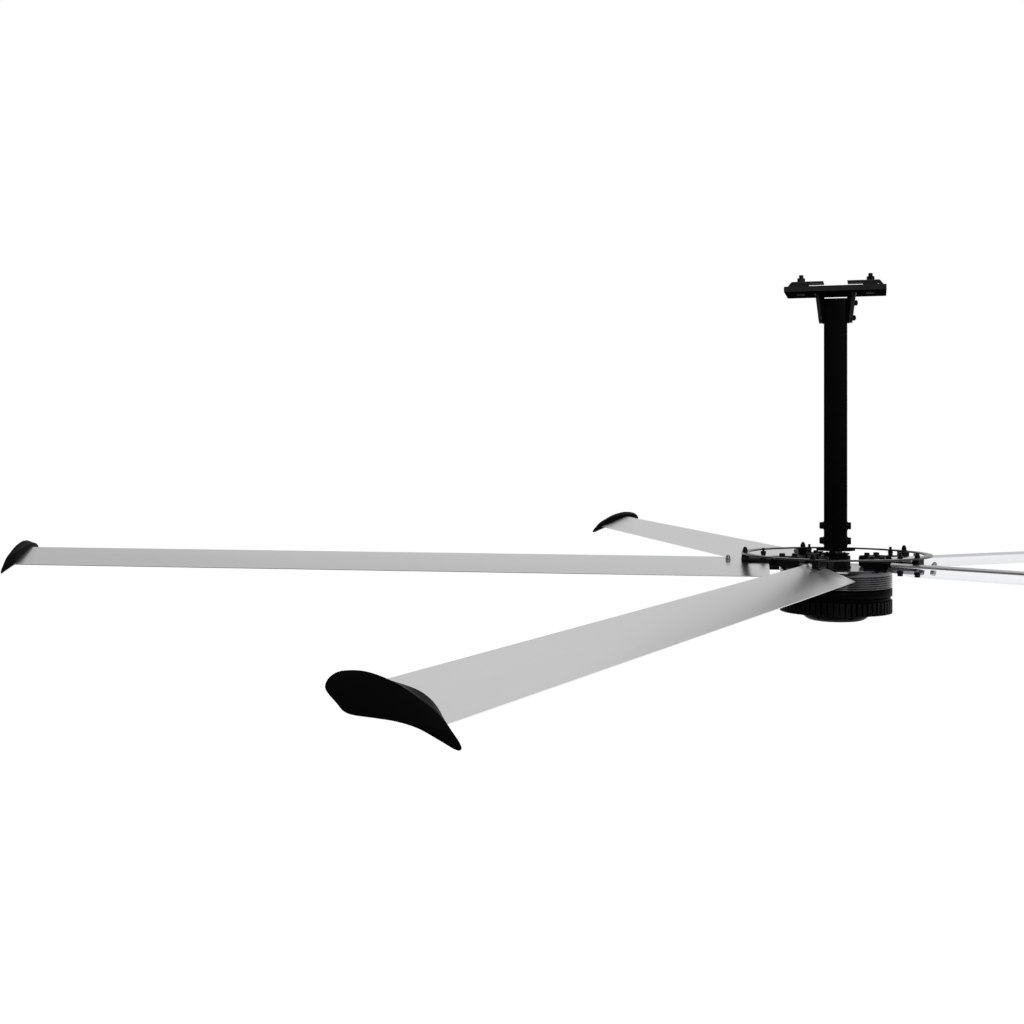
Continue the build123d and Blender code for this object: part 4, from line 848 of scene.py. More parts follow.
def turned_metal(name, dark, light, roughness, metallic=1.0, line_scale=900, depth=0.00002, spread=0.15):
    """A turned finish: fine rings round the fan's axis, in tone, gloss and bump."""
    material, tree, shader = new_material(name, Metallic=metallic)
    rings = use_group(tree, turning_lines, Line_Scale=line_scale, Roughness=roughness, Spread=spread)
    tones = add_node(tree, "ShaderNodeMix", data_type="RGBA")
    tones.inputs["A"].default_value = (*dark, 1)
    tones.inputs["B"].default_value = (*light, 1)
    add_links(
        tree,
        (rings.outputs["Shade"], tones.inputs["Factor"]),
        (tones.outputs["Result"], shader.inputs["Base Color"]),
        (rings.outputs["Roughness"], shader.inputs["Roughness"]),
    )
    bump_from(tree, shader, rings.outputs["Height"], depth)
    return material


def dress(node_name, material):
    """Gives a solid that is kept as it is its finish."""
    solid = nodes[node_name]
    if not solid.material_slots:
        solid.data.materials.append(material)
    for material_slot in solid.material_slots:
        material_slot.material = material


shaft_steel = turned_metal("shaft_steel", (0.05, 0.05, 0.052), (0.10, 0.10, 0.103), 0.35)
bearing_steel = turned_metal("bearing_steel", (0.55, 0.55, 0.56), (0.72, 0.72, 0.73), 0.14, spread=0.08)
dress("motor_shaft", shaft_steel)
dress("shaft_nut", shaft_steel)
dress("bearing_inner_rings", bearing_steel)
dress("bearing_outer_rings", bearing_steel)
# Stator
# Steel laminations and copper coils on an aluminium carrier stand still inside the rotor, pressed on
# the shaft's shoulder.

lamination_steel = turned_metal("lamination_steel", (0.12, 0.12, 0.125), (0.26, 0.26, 0.27), 0.45, line_scale=1400)
coil_copper = turned_metal("coil_copper", (0.42, 0.16, 0.07), (0.78, 0.36, 0.18), 0.3, line_scale=700, depth=0.0002)
cast_grey = turned_metal("cast_grey", (0.36, 0.36, 0.37), (0.5, 0.5, 0.51), 0.42, line_scale=500)
dress("stator_core", lamination_steel)
dress("stator_coils", coil_copper)
dress("stator_carrier", cast_grey)


# Rotor shell and magnets
# The turning cup of the motor, machined from cast aluminium and left bare. Its top face wears a bright
# copy of the metal, and its side, ribs and outer top rim a dark copy that is painted shade. A plain
# wall stands over six level ribs, and nickel-plated magnets line it.

motor_radius, groove_radius, shell_inner_radius = 0.190, 0.183, 0.176
motor_top, rotor_bottom = -0.971, -1.066
lit_top_radius = 0.176
shell_ceiling, hub_bottom = -0.979, -1.0015
bearing_bore, column_radius = 0.04005, 0.050
rib_start_drop, rib_pitch, rib_thick, rib_count = 0.021, 0.0074, 0.0038, 6
rib_round = 0.0008

shaded_shell_aluminium = turned_metal(
    "shaded_shell_aluminium", (0.070, 0.071, 0.072), (0.14, 0.141, 0.143), 0.15, line_scale=420, depth=0.00004
)
lit_top_aluminium = turned_metal(
    "lit_top_aluminium", (0.42, 0.425, 0.43), (0.55, 0.555, 0.56), 0.16, line_scale=420, depth=0.000003, spread=0.08
)
magnet_nickel = turned_metal("magnet_nickel", (0.5, 0.49, 0.46), (0.66, 0.65, 0.62), 0.25)

rings = [(bearing_bore, hub_bottom), (bearing_bore, motor_top - 0.0012), (bearing_bore + 0.0012, motor_top)]
rings += [(lit_top_radius, motor_top), (motor_radius - 0.0030, motor_top)]
rings += [(motor_radius - 0.0009, motor_top - 0.0007)]
rings += [(motor_radius, motor_top - 0.0026), (motor_radius, motor_top - rib_start_drop + rib_round)]
rings += [(motor_radius - rib_round, motor_top - rib_start_drop), (groove_radius, motor_top - rib_start_drop)]
for index in range(1, rib_count + 1):
    high = motor_top - rib_start_drop + rib_thick - index * rib_pitch
    low = high - rib_thick
    rings += [(groove_radius, high), (motor_radius - rib_round, high), (motor_radius, high - rib_round)]
    rings += [(motor_radius, low + rib_round), (motor_radius - rib_round, low), (groove_radius, low)]
rings += [(groove_radius, rotor_bottom), (shell_inner_radius, rotor_bottom)]
rings += [(shell_inner_radius, shell_ceiling - 0.004), (shell_inner_radius - 0.004, shell_ceiling)]
rings += [(column_radius + 0.004, shell_ceiling), (column_radius, shell_ceiling - 0.004), (column_radius, hub_bottom)]
bm = bmesh.new()
add_turned(bm, rings, 144, closed=True)
shell = set_piece("rotor_shell_ribbed", bm, shaded_shell_aluminium, "rotor", ["rotor_shell"], 0)
# Top faces inside the radius take the bright copy. The rest keeps the dark copy, which paints shade round the side and
# on the top's outer rim under the holders.
shell.data.materials.append(lit_top_aluminium)
for face in shell.data.polygons:
    on_top = face.normal.z > 0.98 and face.center.z > motor_top - 0.001
    if on_top and hypot(face.center.x, face.center.y) < lit_top_radius:
        face.material_index = 1
dress("rotor_magnets", magnet_nickel)


# Rotor band
# A black ring shrunk over the shell's lower edge.

band_top = -1.040
black_cast = turned_metal(
    "black_cast", (0.0009, 0.0009, 0.0010), (0.0018, 0.0018, 0.0019), 0.42, 0.0, 700, 0.00002, 0.1
)
black_cast.node_tree.nodes["Principled BSDF"].inputs["Specular IOR Level"].default_value = 0.02

bm = bmesh.new()
rings = [(groove_radius, rotor_bottom), (motor_radius - 0.0008, rotor_bottom), (motor_radius, rotor_bottom + 0.0008)]
rings += [(motor_radius, band_top - 0.0015), (motor_radius - 0.0015, band_top), (groove_radius, band_top)]
add_turned(bm, rings, 144, closed=True)
set_piece("rotor_band_black", bm, black_cast, "rotor", ["rotor_band"], 0)


# Bearing column and cap
# The column stands on the shell round the upper bearing. Its cap is two discs with a groove between
# them, screwed down on the bearing.

column_top, cap_top = -0.940, -0.922
cap_radius, cap_groove_radius = 0.047, 0.042
cap_lower, cap_upper = 0.009, 0.004
cap_bore = 0.0245
column_finish = turned_metal(
    "column_finish", (0.0022, 0.0022, 0.0023), (0.0050, 0.0050, 0.0052), 0.28, 0.0, 800, 0.00002, 0.1
)
column_finish.node_tree.nodes["Principled BSDF"].inputs["Specular IOR Level"].default_value = 0.02

bm = bmesh.new()
rings = [(bearing_bore, motor_top), (column_radius + 0.003, motor_top), (column_radius, motor_top + 0.003)]
rings += [(column_radius, column_top - 0.0005), (column_radius - 0.0005, column_top), (bearing_bore, column_top)]
add_turned(bm, rings, 96, closed=True)
set_piece("bearing_column", bm, column_finish, "rotor", ["bearing_housing"], 0)

bm = bmesh.new()
rings = [(cap_bore, column_top), (column_radius - 0.0005, column_top), (column_radius, column_top + 0.0006)]
rings += [(column_radius, column_top + cap_lower - 0.0008), (column_radius - 0.0008, column_top + cap_lower)]
rings += [(cap_groove_radius, column_top + cap_lower), (cap_groove_radius, cap_top - cap_upper)]
rings += [(cap_radius - 0.0005, cap_top - cap_upper), (cap_radius, cap_top - cap_upper + 0.0005)]
rings += [(cap_radius, cap_top - 0.0008), (cap_radius - 0.0008, cap_top), (cap_bore + 0.0008, cap_top)]
add_turned(bm, rings + [(cap_bore, cap_top - 0.0008)], 96, closed=True)
screw_ring = [radians(30 + 60 * step) for step in range(6)]
for turn in screw_ring:
    spot = Matrix.Translation((0.034 * cos(turn), 0.034 * sin(turn), 0))
    head = [(0, cap_top - 0.001), (0.0038, cap_top - 0.001), (0.0038, cap_top + 0.0016), (0.0030, cap_top + 0.0024)]
    add_turned(bm, head + [(0.0019, cap_top + 0.0024), (0.0017, cap_top + 0.0008), (0, cap_top + 0.0008)], 24, spot)
set_piece("bearing_cap_grooved", bm, column_finish, "rotor", ["bearing_cap"], 0)


# Drive cover and finned housing
# The still lower half of the motor: a disc under the rotor makes the neck, and a cast pan with sixty
# upright cooling fins hangs below it on the shaft's nut. Each fin has a shallow groove down its face.

neck_radius, neck_top, fin_top = 0.184, -1.068, -1.080
housing_bottom, housing_floor = -1.125, 0.008
pan_radius, pan_inner_radius = 0.176, 0.170
fin_count, fin_thick = 60, 0.013
fin_groove_half, fin_groove_depth = 0.0011, 0.0016
cover_bore = 0.0281
fin_phase = 2.0

bm = bmesh.new()
rings = [(cover_bore, neck_top), (cover_bore, fin_top), (neck_radius - 0.001, fin_top), (neck_radius, fin_top + 0.001)]
rings += [(neck_radius, neck_top - 0.001), (neck_radius - 0.001, neck_top)]
add_turned(bm, rings, 144, closed=True)
set_piece("drive_cover_neck", bm, black_cast, "frame", ["drive_cover"], 0)

# The fins' lighter edges are partly wear and partly a painted highlight.
fin_cast = painted("fin_cast", (0.0018, 0.0018, 0.0019), (0.030, 0.030, 0.0305), 0.38, 0.06, 0.00006)
tip = motor_radius
flank = ((pan_radius, fin_thick / 2 + 0.0006), (tip - 0.0012, fin_thick / 2), (tip, fin_thick / 2 - 0.0014))
groove = ((tip, fin_groove_half), (tip - fin_groove_depth, fin_groove_half * 0.5))
fin_side = [(r, -t) for r, t in flank] + [(r, -t) for r, t in groove]
fin_side += [(r, t) for r, t in reversed(groove)] + [(r, t) for r, t in reversed(flank)]
outline = []
for index in range(fin_count):
    turn = radians(fin_phase + index * 360 / fin_count)
    for out, aside in fin_side:
        outline.append((out * cos(turn) - aside * sin(turn), out * sin(turn) + aside * cos(turn)))
bm = bmesh.new()
add_prism(bm, outline, housing_bottom, fin_top, [circle(pan_inner_radius, 144)])
floor_top = housing_bottom + housing_floor
rings = [(shaft_radius + 0.0001, housing_bottom + 0.0002), (pan_inner_radius + 0.0003, housing_bottom + 0.0002)]
rings += [(pan_inner_radius + 0.0003, floor_top), (shaft_radius + 0.0001, floor_top)]
add_turned(bm, rings, 144, closed=True)
set_piece("drive_housing_finned", bm, fin_cast, "frame", ["drive_housing"], 0.0005)


# Controller board
# The drive's circuit board stands on four posts inside the pan.

board_green = painted("board_green", (0.012, 0.09, 0.03), (0.2, 0.2, 0.16), 0.3, 0.5, 0.00005, 0.3)
dress("controller_board", board_green)


# Bottom cap and screws
# A shallow black dish closes the pan from below, held by six screws sunk in its thick rim.

cap_finish = turned_metal(
    "cap_finish", (0.0010, 0.0010, 0.0011), (0.0024, 0.0024, 0.0025), 0.22, 0.0, 260, 0.00002, 0.1
)
cap_finish.node_tree.nodes["Principled BSDF"].inputs["Specular IOR Level"].default_value = 0.012
dress("bottom_cap", cap_finish)
dress("cap_screws", black_oxide)
# Blade holders
# Five root blocks bolted on the rotor's top. Each has a tongue welded into its outer end, which runs
# inside the blade at the blade's pitch.

first_angle, blade_count = 41.7, 5
blade_angles = [first_angle + index * 360 / blade_count for index in range(blade_count)]
pitch = radians(20.4)
pitch_axis_height = -0.957
holder_cast = painted("holder_cast", (0.0022, 0.0022, 0.0023), wear_and_highlight_tone, 0.42, 0.05, 0.00005)


def pitched_place(angle):
    """The blade's own place: X outwards, Y from nose to tail, Z up through the blade."""
    turn = Matrix.Rotation(radians(angle), 4, "Z")
    return Matrix.Translation((0, 0, pitch_axis_height)) @ turn @ Matrix.Rotation(-pitch, 4, "X")


def level_place(angle, radius, height=0):
    """A level place at a radius, with X outwards."""
    return Matrix.Rotation(radians(angle), 4, "Z") @ Matrix.Translation((radius, 0, height))


for number in range(1, blade_count + 1):
    dress(f"blade_holder_{number}", holder_cast)


# Upper arms
# Flat steel bars with a satin black coat. Each lies level on its root block, turns to the blade's
# pitch just before the blade and runs along its top to the safety ring.

arm_start, arm_flat_end, arm_twist_end, arm_end = 0.124, 0.205, 0.228, 0.323
arm_width, arm_thick = 0.045, 0.006
arm_top, pad_height = -0.936, 0.007
arm_corner = 0.0012
arm_end_corner = 0.009
arm_paint = painted("arm_paint", (0.0020, 0.0020, 0.0021), wear_and_highlight_tone, 0.32, 0.05, 0.00003)


def add_loft(bm, rings):
    """Skins closed rings of equal count and closes both ends."""
    loops = [[bm.verts.new(point) for point in ring] for ring in rings]
    count = len(loops[0])
    for first, second in zip(loops, loops[1:]):
        for step in range(count):
            after = (step + 1) % count
            bm.faces.new((first[step], first[after], second[after], second[step]))
    bm.faces.new(loops[0])
    bm.faces.new(loops[-1])
    return loops


def arm_ring(station, angle):
    """One section of an upper arm at a radius, as points in the fan's frame."""
    share = min(1, max(0, (station - arm_flat_end) / (arm_twist_end - arm_flat_end)))
    share = share * share * (3 - 2 * share)
    lean = pitch * share
    middle = pad_height + arm_thick / 2
    flat_spot = Vector((0, arm_top - arm_thick / 2))
    pitched_spot = Vector((middle * sin(pitch), pitch_axis_height + middle * cos(pitch)))
    spot = flat_spot.lerp(pitched_spot, share)
    past = max(0, station - (arm_end - arm_end_corner))
    half = arm_width / 2 - arm_end_corner + max(0, arm_end_corner ** 2 - past ** 2) ** 0.5
    points = []
    for y, z in rounded_box(2 * half, arm_thick, min(arm_corner, half * 0.8), 1):
        aside = spot.x + y * cos(lean) + z * sin(lean)
        height = spot.y - y * sin(lean) + z * cos(lean)
        points.append(Matrix.Rotation(radians(angle), 4, "Z") @ Vector((station, aside, height)))
    return points


stations = [arm_start, arm_start + 0.001, arm_flat_end]
stations += [arm_flat_end + (arm_twist_end - arm_flat_end) * step / 10 for step in range(1, 11)]
stations += [arm_end - arm_end_corner + arm_end_corner * sin(radians(step * 9)) for step in range(11)]
for number, angle in enumerate(blade_angles, start=1):
    bm = bmesh.new()
    add_loft(bm, [arm_ring(station, angle) for station in stations])
    set_piece(f"upper_arm_twisted_{number}", bm, arm_paint, "rotor", [f"upper_arm_{number}"], 0)


# Arm bolts
# Two flanged M12 bolts hold each arm and root block down on the rotor.

arm_bolt_rows = ((0.140, 0.041), (0.182, 0.030))
bolt_black = painted("bolt_black", (0.0022, 0.0022, 0.0023), (0.05, 0.05, 0.051), 0.3, 0.12, 0.00001)


def add_headed_bolt(bm, flats, head, washer, washer_thick, shank, length, place, spin=0):
    """A flanged hex bolt: its head stands up from the place, and its shank runs down from it."""
    rings = [(0, -length), (shank / 2 - 0.001, -length), (shank / 2, -length + 0.001), (shank / 2, 0)]
    rings += [(washer / 2 - 0.0004, 0), (washer / 2, 0.0005), (washer / 2 - 0.0012, washer_thick * 0.75)]
    rings += [(flats / 2 * 1.17, washer_thick)]
    rings += hex_rings(flats, washer_thick, washer_thick + head, True, False)
    rings += [(flats / 2 * 0.62, washer_thick + head), (flats / 2 * 0.55, washer_thick + head - 0.0006)]
    rings += [(0, washer_thick + head - 0.0006)]
    add_turned(bm, rings, 36, place @ Matrix.Rotation(radians(spin), 4, "Z"))


bm = bmesh.new()
for number, angle in enumerate(blade_angles):
    for row, (radius, length) in enumerate(arm_bolt_rows):
        spot = level_place(angle, radius, arm_top)
        spin = 13 + 23 * number + 31 * row
        add_headed_bolt(bm, m12_flats, m12_head, m12_washer, m12_washer_thick, 0.012, length, spot, spin)
set_piece("arm_bolts_flanged", bm, bolt_black, "rotor", ["arm_bolts"], 0.0003)


# Blades
# Five extruded aluminium blades, satin anodised, with fine die lines along their length. Each is a
# hollow section with two webs: flat at the front on top and below, then curved to a thin tail.

blade_start, blade_end = 0.228, 3.036
blade_wall, nose_radius, nose_x = 0.0025, 0.00825, -0.022
pad_end, belly_end = 0.026, 0.050
tail_x, tail_height, tail_thick = 0.128, 0.004, 0.0024
belly_height = pad_height - 2 * nose_radius
webs = (0.057, 0.095)
curve_steps = 14

extruded, ins, outs = value_group(
    "die_lines", (("Roughness", 0.33), ("Spread", 0.10)),
    (("Height", "NodeSocketFloat"), ("Roughness", "NodeSocketFloat"), ("Shade", "NodeSocketFloat")),
)
place = add_node(extruded, "ShaderNodeUVMap", uv_map="along_blade")
stretch = add_node(extruded, "ShaderNodeMapping")
stretch.inputs["Scale"].default_value = (1.2, 700, 1)
lines = add_node(extruded, "ShaderNodeTexNoise", inputs={"Scale": 1, "Detail": 3, "Roughness": 0.6})
broad = add_node(extruded, "ShaderNodeMapping")
broad.inputs["Scale"].default_value = (1.5, 30, 1)
bands = add_node(extruded, "ShaderNodeTexNoise", inputs={"Scale": 1, "Detail": 3, "Roughness": 0.5})
mixed = add_node(extruded, "ShaderNodeMath", operation="MULTIPLY_ADD", inputs={1: 0.4})
rest_share = add_node(extruded, "ShaderNodeMath", operation="MULTIPLY", inputs={1: 0.6})
centred = add_node(extruded, "ShaderNodeMath", operation="SUBTRACT", inputs={1: 0.5})
spread = add_node(extruded, "ShaderNodeMath", operation="MULTIPLY_ADD")
add_links(
    extruded,
    (place.outputs[0], stretch.inputs["Vector"]),
    (stretch.outputs[0], lines.inputs["Vector"]),
    (place.outputs[0], broad.inputs["Vector"]),
    (broad.outputs[0], bands.inputs["Vector"]),
    (bands.outputs["Fac"], rest_share.inputs[0]),
    (lines.outputs["Fac"], mixed.inputs[0]),
    (rest_share.outputs[0], mixed.inputs[2]),
    (mixed.outputs[0], outs.inputs["Shade"]),
    (lines.outputs["Fac"], outs.inputs["Height"]),
    (mixed.outputs[0], centred.inputs[0]),
    (centred.outputs[0], spread.inputs[0]),
    (ins.outputs["Spread"], spread.inputs[1]),
    (ins.outputs["Roughness"], spread.inputs[2]),
    (spread.outputs[0], outs.inputs["Roughness"]),
)
blade_silver, tree, shader = new_material("blade_silver", Metallic=1.0)
lines = use_group(tree, extruded, Roughness=0.31, Spread=0.10)
tones = add_node(tree, "ShaderNodeMix", data_type="RGBA")
tones.inputs["A"].default_value = (0.785, 0.79, 0.795, 1)
tones.inputs["B"].default_value = (0.882, 0.882, 0.887, 1)
add_links(
    tree,
    (lines.outputs["Shade"], tones.inputs["Factor"]),
    (tones.outputs["Result"], shader.inputs["Base Color"]),
    (lines.outputs["Roughness"], shader.inputs["Roughness"]),
)
bump_from(tree, shader, lines.outputs["Height"], 0.000012)


def flat_to_tail(start_x, start_y, end_y, steps):
    """The arc that leaves a flat face level and reaches the tail, as points after its start."""
    run, rise = tail_x - start_x, end_y - start_y
    radius = (run * run + rise * rise) / (2 * abs(rise))
    way = 1 if rise > 0 else -1
    whole = 2 * atan2(abs(rise), run)
    return [
        (start_x + radius * sin(whole * step / steps), start_y + way * radius * (1 - cos(whole * step / steps)))
        for step in range(1, steps + 1)
    ]


def blade_outline():
    """The blade's outer section, from the top of the nose round to the belly."""
    top = [(nose_x, pad_height), (pad_end, pad_height)] + flat_to_tail(pad_end, pad_height, tail_height, curve_steps)
    belly = [(belly_end, belly_height)]
    belly += flat_to_tail(belly_end, belly_height, tail_height - tail_thick, curve_steps)
    nose = arc_points((nose_x, pad_height - nose_radius), nose_radius, 270, 90, 14)[:-1]
    return top + belly[::-1] + nose


def height_at(points, x):
    """The height of a run of points, by straight steps, at an X."""
    for (x0, y0), (x1, y1) in zip(points, points[1:]):
        if x0 <= x <= x1:
            return y0 + (y1 - y0) * (x - x0) / (x1 - x0)
    return points[-1][1]


def blade_cells():
    """The three hollow cells inside the wall, between the webs."""
    top = [(nose_x, pad_height), (pad_end, pad_height)] + flat_to_tail(pad_end, pad_height, tail_height, curve_steps)
    belly = [(nose_x, belly_height), (belly_end, belly_height)]
    belly += flat_to_tail(belly_end, belly_height, tail_height - tail_thick, curve_steps)
    half_web = blade_wall / 2
    spans = ((nose_x, webs[0] - half_web), (webs[0] + half_web, webs[1] - half_web), (webs[1] + half_web, 0.112))
    cells = []
    for index, (start, end) in enumerate(spans):
        stops = [start + (end - start) * step / 10 for step in range(11)]
        upper = [(x, height_at(top, x) - blade_wall) for x in stops]
        lower = [(x, height_at(belly, x) + blade_wall) for x in stops]
        cell = upper[::-1] if index else upper[::-1]
        front = []
        if index == 0:
            front = arc_points((nose_x, pad_height - nose_radius), nose_radius - blade_wall, 90, 270, 10)[1:-1]
        cells.append(cell + front + lower)
    return cells


def section_place(angle, radius):
    """Turns a section's X and Y into the blade's chord and thickness, and its height into the span."""
    stand = Matrix(((0, 0, 1, radius), (1, 0, 0, 0), (0, 1, 0, 0), (0, 0, 0, 1)))
    return pitched_place(angle) @ stand


for number, angle in enumerate(blade_angles, start=1):
    bm = bmesh.new()
    add_prism(bm, blade_outline(), 0, blade_end - blade_start, blade_cells())
    uv_layer = bm.loops.layers.uv.new("along_blade")
    for face in bm.faces:
        for loop in face.loops:
            loop[uv_layer].uv = (loop.vert.co.z + number * 7.3, loop.vert.co.x + loop.vert.co.y * 0.3)
    bmesh.ops.transform(bm, matrix=section_place(angle, blade_start), verts=bm.verts[:])
    set_piece(f"blade_extruded_{number}", bm, blade_silver, "rotor", [f"blade_{number}"], 0.0004)


# Winglets
# A black moulded tip closes each blade's outer end. It starts a little larger than the blade and
# flares out to a deep rim that turns up behind the nose and thins to a point past the tail.

winglet_flare = 0.030
rim_points = (
    (-92, -22), (-86, -3), (-66, 15), (-23, 32.4), (34.5, 38.2), (84, 32.5), (122, 25), (151, 11), (172, -1),
    (179.5, -9.5), (171, -15), (140, -14), (97, -13.4), (56, -20.7), (17, -33), (-23, -46.5), (-43, -49),
    (-60, -42.5), (-85, -32.5),
)
root_points = (
    (-86, -22), (-73, 0), (-38, 17), (12, 27.5), (56.6, 34), (86, 31), (109.4, 20), (126, 4), (120, -3),
    (95, -7), (50, -16), (-20, -40), (-44, -43), (-60, -38), (-79, -31),
)
winglet_black = painted("winglet_black", (0.0020, 0.0020, 0.0021), (0.008, 0.008, 0.0082), 0.45, 0.05, 0.00008)


def smooth_loop(points, count):
    """A closed smooth curve through points in millimetres, evenly spaced, in metres."""
    path = []
    size = len(points)
    for index in range(size):
        p0, p1, p2, p3 = (Vector(points[(index + shift) % size]) for shift in (-1, 0, 1, 2))
        for step in range(24):
            t = step / 24
            path.append(
                0.5 * (2 * p1 + (p2 - p0) * t + (2 * p0 - 5 * p1 + 4 * p2 - p3) * t * t
                       + (3 * p1 - p0 - 3 * p2 + p3) * t ** 3)
            )
    lengths = [0.0]
    for before, after in zip(path, path[1:] + path[:1]):
        lengths.append(lengths[-1] + (after - before).length)
    spaced, place_at = [], 0
    for index in range(count):
        wanted = lengths[-1] * index / count
        while lengths[place_at + 1] < wanted:
            place_at += 1
        share = (wanted - lengths[place_at]) / (lengths[place_at + 1] - lengths[place_at])
        spaced.append(path[place_at].lerp(path[(place_at + 1) % len(path)], share) / 1000)
    return spaced


rim_loop = smooth_loop(rim_points, 120)
root_loop = smooth_loop(root_points, 120)
rim_middle = sum(rim_loop, Vector((0, 0))) / len(rim_loop)
root_middle = sum(root_loop, Vector((0, 0))) / len(root_loop)
flare_steps = 10
for number, angle in enumerate(blade_angles, start=1):
    rings = [[(*(root_middle + (p - root_middle) * 0.97), 0.0002) for p in root_loop]]
    for step in range(flare_steps + 1):
        share = step / flare_steps
        deep = 0.0010 + (winglet_flare - 0.0022) * share
        spreading = share ** 1.15
        rings.append([(*a.lerp(b, spreading), deep) for a, b in zip(root_loop, rim_loop)])
    for inset, deep in ((0.0006, 0.0004), (0.0016, 0)):
        ring = []
        for p in rim_loop:
            ring.append((*(p - (p - rim_middle).normalized() * inset), winglet_flare - deep))
        rings.append(ring)
    bm = bmesh.new()
    add_loft(bm, rings)
    bmesh.ops.transform(bm, matrix=section_place(angle, blade_end), verts=bm.verts[:])
    set_piece(f"winglet_moulded_{number}", bm, winglet_black, "rotor", [f"winglet_{number}"], 0)
dress("winglet_screws", black_oxide)


# Lower straps
# Zinc-plated bars under the blades' roots, with round ends. They take the heads of the two upright
# bolts and clamp the blade between strap and arm.

strap_start, strap_end, strap_thick = 0.203, 0.335, 0.008


def plated(name, dark, light, roughness):
    """A zinc plating: small crystals in two greys, with uneven gloss."""
    material, tree, shader = new_material(name, Metallic=1.0)
    place = add_node(tree, "ShaderNodeTexCoord")
    spangle = add_node(tree, "ShaderNodeTexVoronoi", inputs={"Scale": 160})
    grain = use_group(tree, fine_grain, Roughness=roughness, Spread=0.25)
    tones = add_node(tree, "ShaderNodeMix", data_type="RGBA")
    tones.inputs["A"].default_value = (*dark, 1)
    tones.inputs["B"].default_value = (*light, 1)
    shades = add_node(tree, "ShaderNodeSeparateColor")
    add_links(
        tree,
        (place.outputs["Object"], spangle.inputs["Vector"]),
        (spangle.outputs["Color"], shades.inputs[0]),
        (shades.outputs[0], tones.inputs["Factor"]),
        (tones.outputs["Result"], shader.inputs["Base Color"]),
        (grain.outputs["Roughness"], shader.inputs["Roughness"]),
    )
    bump_from(tree, shader, grain.outputs["Height"], 0.00001)
    return material


# The straps' zinc is a much darker copy of the nuts' zinc: painted shade.
shaded_strap_zinc = plated("shaded_strap_zinc", (0.075, 0.076, 0.078), (0.14, 0.142, 0.145), 0.30)

strap_outline = arc_points((strap_end - arm_width / 2, 0), arm_width / 2, -90, 90, 16)
strap_outline += arc_points((strap_start + arm_width / 2, 0), arm_width / 2, 90, 270, 16)
bm = bmesh.new()
for angle in blade_angles:
    add_prism(bm, strap_outline, belly_height - strap_thick, belly_height, place=pitched_place(angle))
set_piece("lower_straps_plated", bm, shaded_strap_zinc, "rotor", ["lower_straps"], 0.0008)


# Safety ring and wedges
# A flat steel ring in glossier black joins the five roots over their arms. Wedges below it and
# tapered washers at the straps and arms turn the blades' pitch into the level for the bolts.

ring_top, ring_thick = -0.923, 0.005
ring_radius, ring_width = 0.310, 0.026
ring_paint = painted("ring_paint", (0.004, 0.004, 0.0042), (0.05, 0.05, 0.051), 0.24, 0.5, 0.00001)

inner, outer = ring_radius - ring_width / 2, ring_radius + ring_width / 2
low, soft = ring_top - ring_thick, 0.0008
rings = [(inner, low + soft), (inner + soft, low), (outer - soft, low), (outer, low + soft)]
rings += [(outer, ring_top - soft), (outer - soft, ring_top), (inner + soft, ring_top), (inner, ring_top - soft)]
bm = bmesh.new()
add_turned(bm, rings, 180, closed=True)
set_piece("safety_ring_flat", bm, ring_paint, "rotor", ["safety_ring"], 0)
dress("ring_wedges", bolt_black)


# Blade bolts and nuts
# Upright M10 bolts clamp strap, blade, tongue and arm. The inner one is a long stud with a flange nut,
# the outer one passes through the ring and ends in a cap nut.

m10_flats, m10_nut, m10_head = 0.016, 0.008, 0.008
m10_washer, m10_washer_thick = 0.020, 0.002
root_radius = 0.247
bolt_seat, arm_seat, stud_top = -0.97756, -0.92904, -0.908
dome_top = 0.019

bm = bmesh.new()
for number, angle in enumerate(blade_angles):
    for radius, top in ((root_radius, None), (ring_radius, ring_top + 0.0095)):
        length = (top if top else arm_seat) - bolt_seat
        upside_down = level_place(angle, radius, bolt_seat) @ Matrix.Rotation(pi, 4, "X")
        add_headed_bolt(bm, m10_flats, m10_head, m10_washer, m10_washer_thick, 0.010, length, upside_down, 17 * number)
    start = arm_seat + m10_washer_thick + m10_nut - 0.001
    rings = [(0, arm_seat - 0.001), (0.005, arm_seat - 0.001)] + thread_rings(0.005, start, stud_top, 0.0015)
    add_turned(bm, rings, 24, level_place(angle, root_radius))
set_piece("blade_bolts_upright", bm, bolt_black, "rotor", ["blade_bolts"], 0.0003)


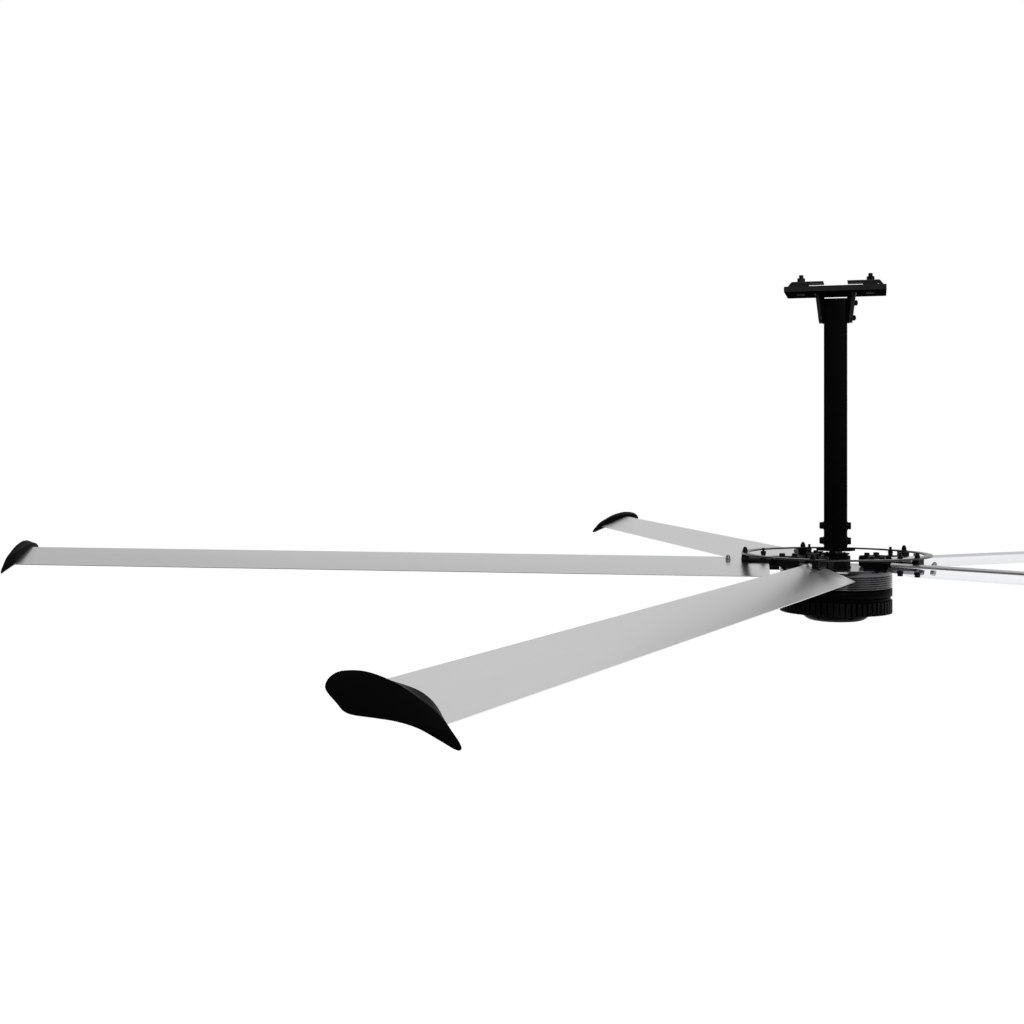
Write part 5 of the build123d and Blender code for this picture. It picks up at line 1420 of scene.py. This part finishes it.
def add_flange_nut(bm, place, domed):
    """A flanged hex nut, plain with an open thread or closed by a dome."""
    top = m10_washer_thick + m10_nut
    rings = [(0.0053, 0), (m10_washer / 2 - 0.0004, 0), (m10_washer / 2, 0.0005)]
    rings += [(m10_washer / 2 - 0.0012, m10_washer_thick * 0.75), (m10_flats / 2 * 1.17, m10_washer_thick)]
    rings += hex_rings(m10_flats, m10_washer_thick, top, True, False)
    if not domed:
        add_turned(bm, rings + [(0.006, top), (0.0053, top - 0.001)], 36, place, closed=True)
        return
    base = m10_flats / 2 * 0.93
    rise = dome_top - top - 0.0008
    rings += [(base, top + 0.0002), (base, top + 0.0008)]
    rings += [(base * cos(radians(a)), top + 0.0008 + rise * sin(radians(a))) for a in range(12, 85, 12)]
    add_turned(bm, [(0, 0)] + rings + [(0, dome_top)], 36, place)


bm = bmesh.new()
for number, angle in enumerate(blade_angles):
    spin = Matrix.Rotation(radians(11 + 37 * number), 4, "Z")
    add_flange_nut(bm, level_place(angle, root_radius, arm_seat) @ spin, False)
    add_flange_nut(bm, level_place(angle, ring_radius, ring_top) @ spin, True)
set_piece("blade_nuts_flanged", bm, bolt_black, "rotor", ["blade_nuts"], 0.0003)


# Outer fasteners
# One zinc-plated bolt with a cap nut at each tongue's end, square to the blade.

outer_radius = 0.369
nut_zinc = plated("nut_zinc", (0.34, 0.345, 0.35), (0.52, 0.525, 0.53), 0.25)

bm = bmesh.new()
for number, angle in enumerate(blade_angles):
    outwards = pitched_place(angle) @ Matrix.Translation((outer_radius, 0, 0))
    below = outwards @ Matrix.Translation((0, 0, belly_height)) @ Matrix.Rotation(pi, 4, "X")
    add_headed_bolt(bm, m10_flats, m10_head, m10_washer, m10_washer_thick, 0.010, 0.0165, below, 19 * number)
    above = outwards @ Matrix.Translation((0, 0, pad_height)) @ Matrix.Rotation(radians(29 * number), 4, "Z")
    add_flange_nut(bm, above, True)
set_piece("outer_fasteners_plated", bm, nut_zinc, "rotor", ["outer_fasteners"], 0.0003)
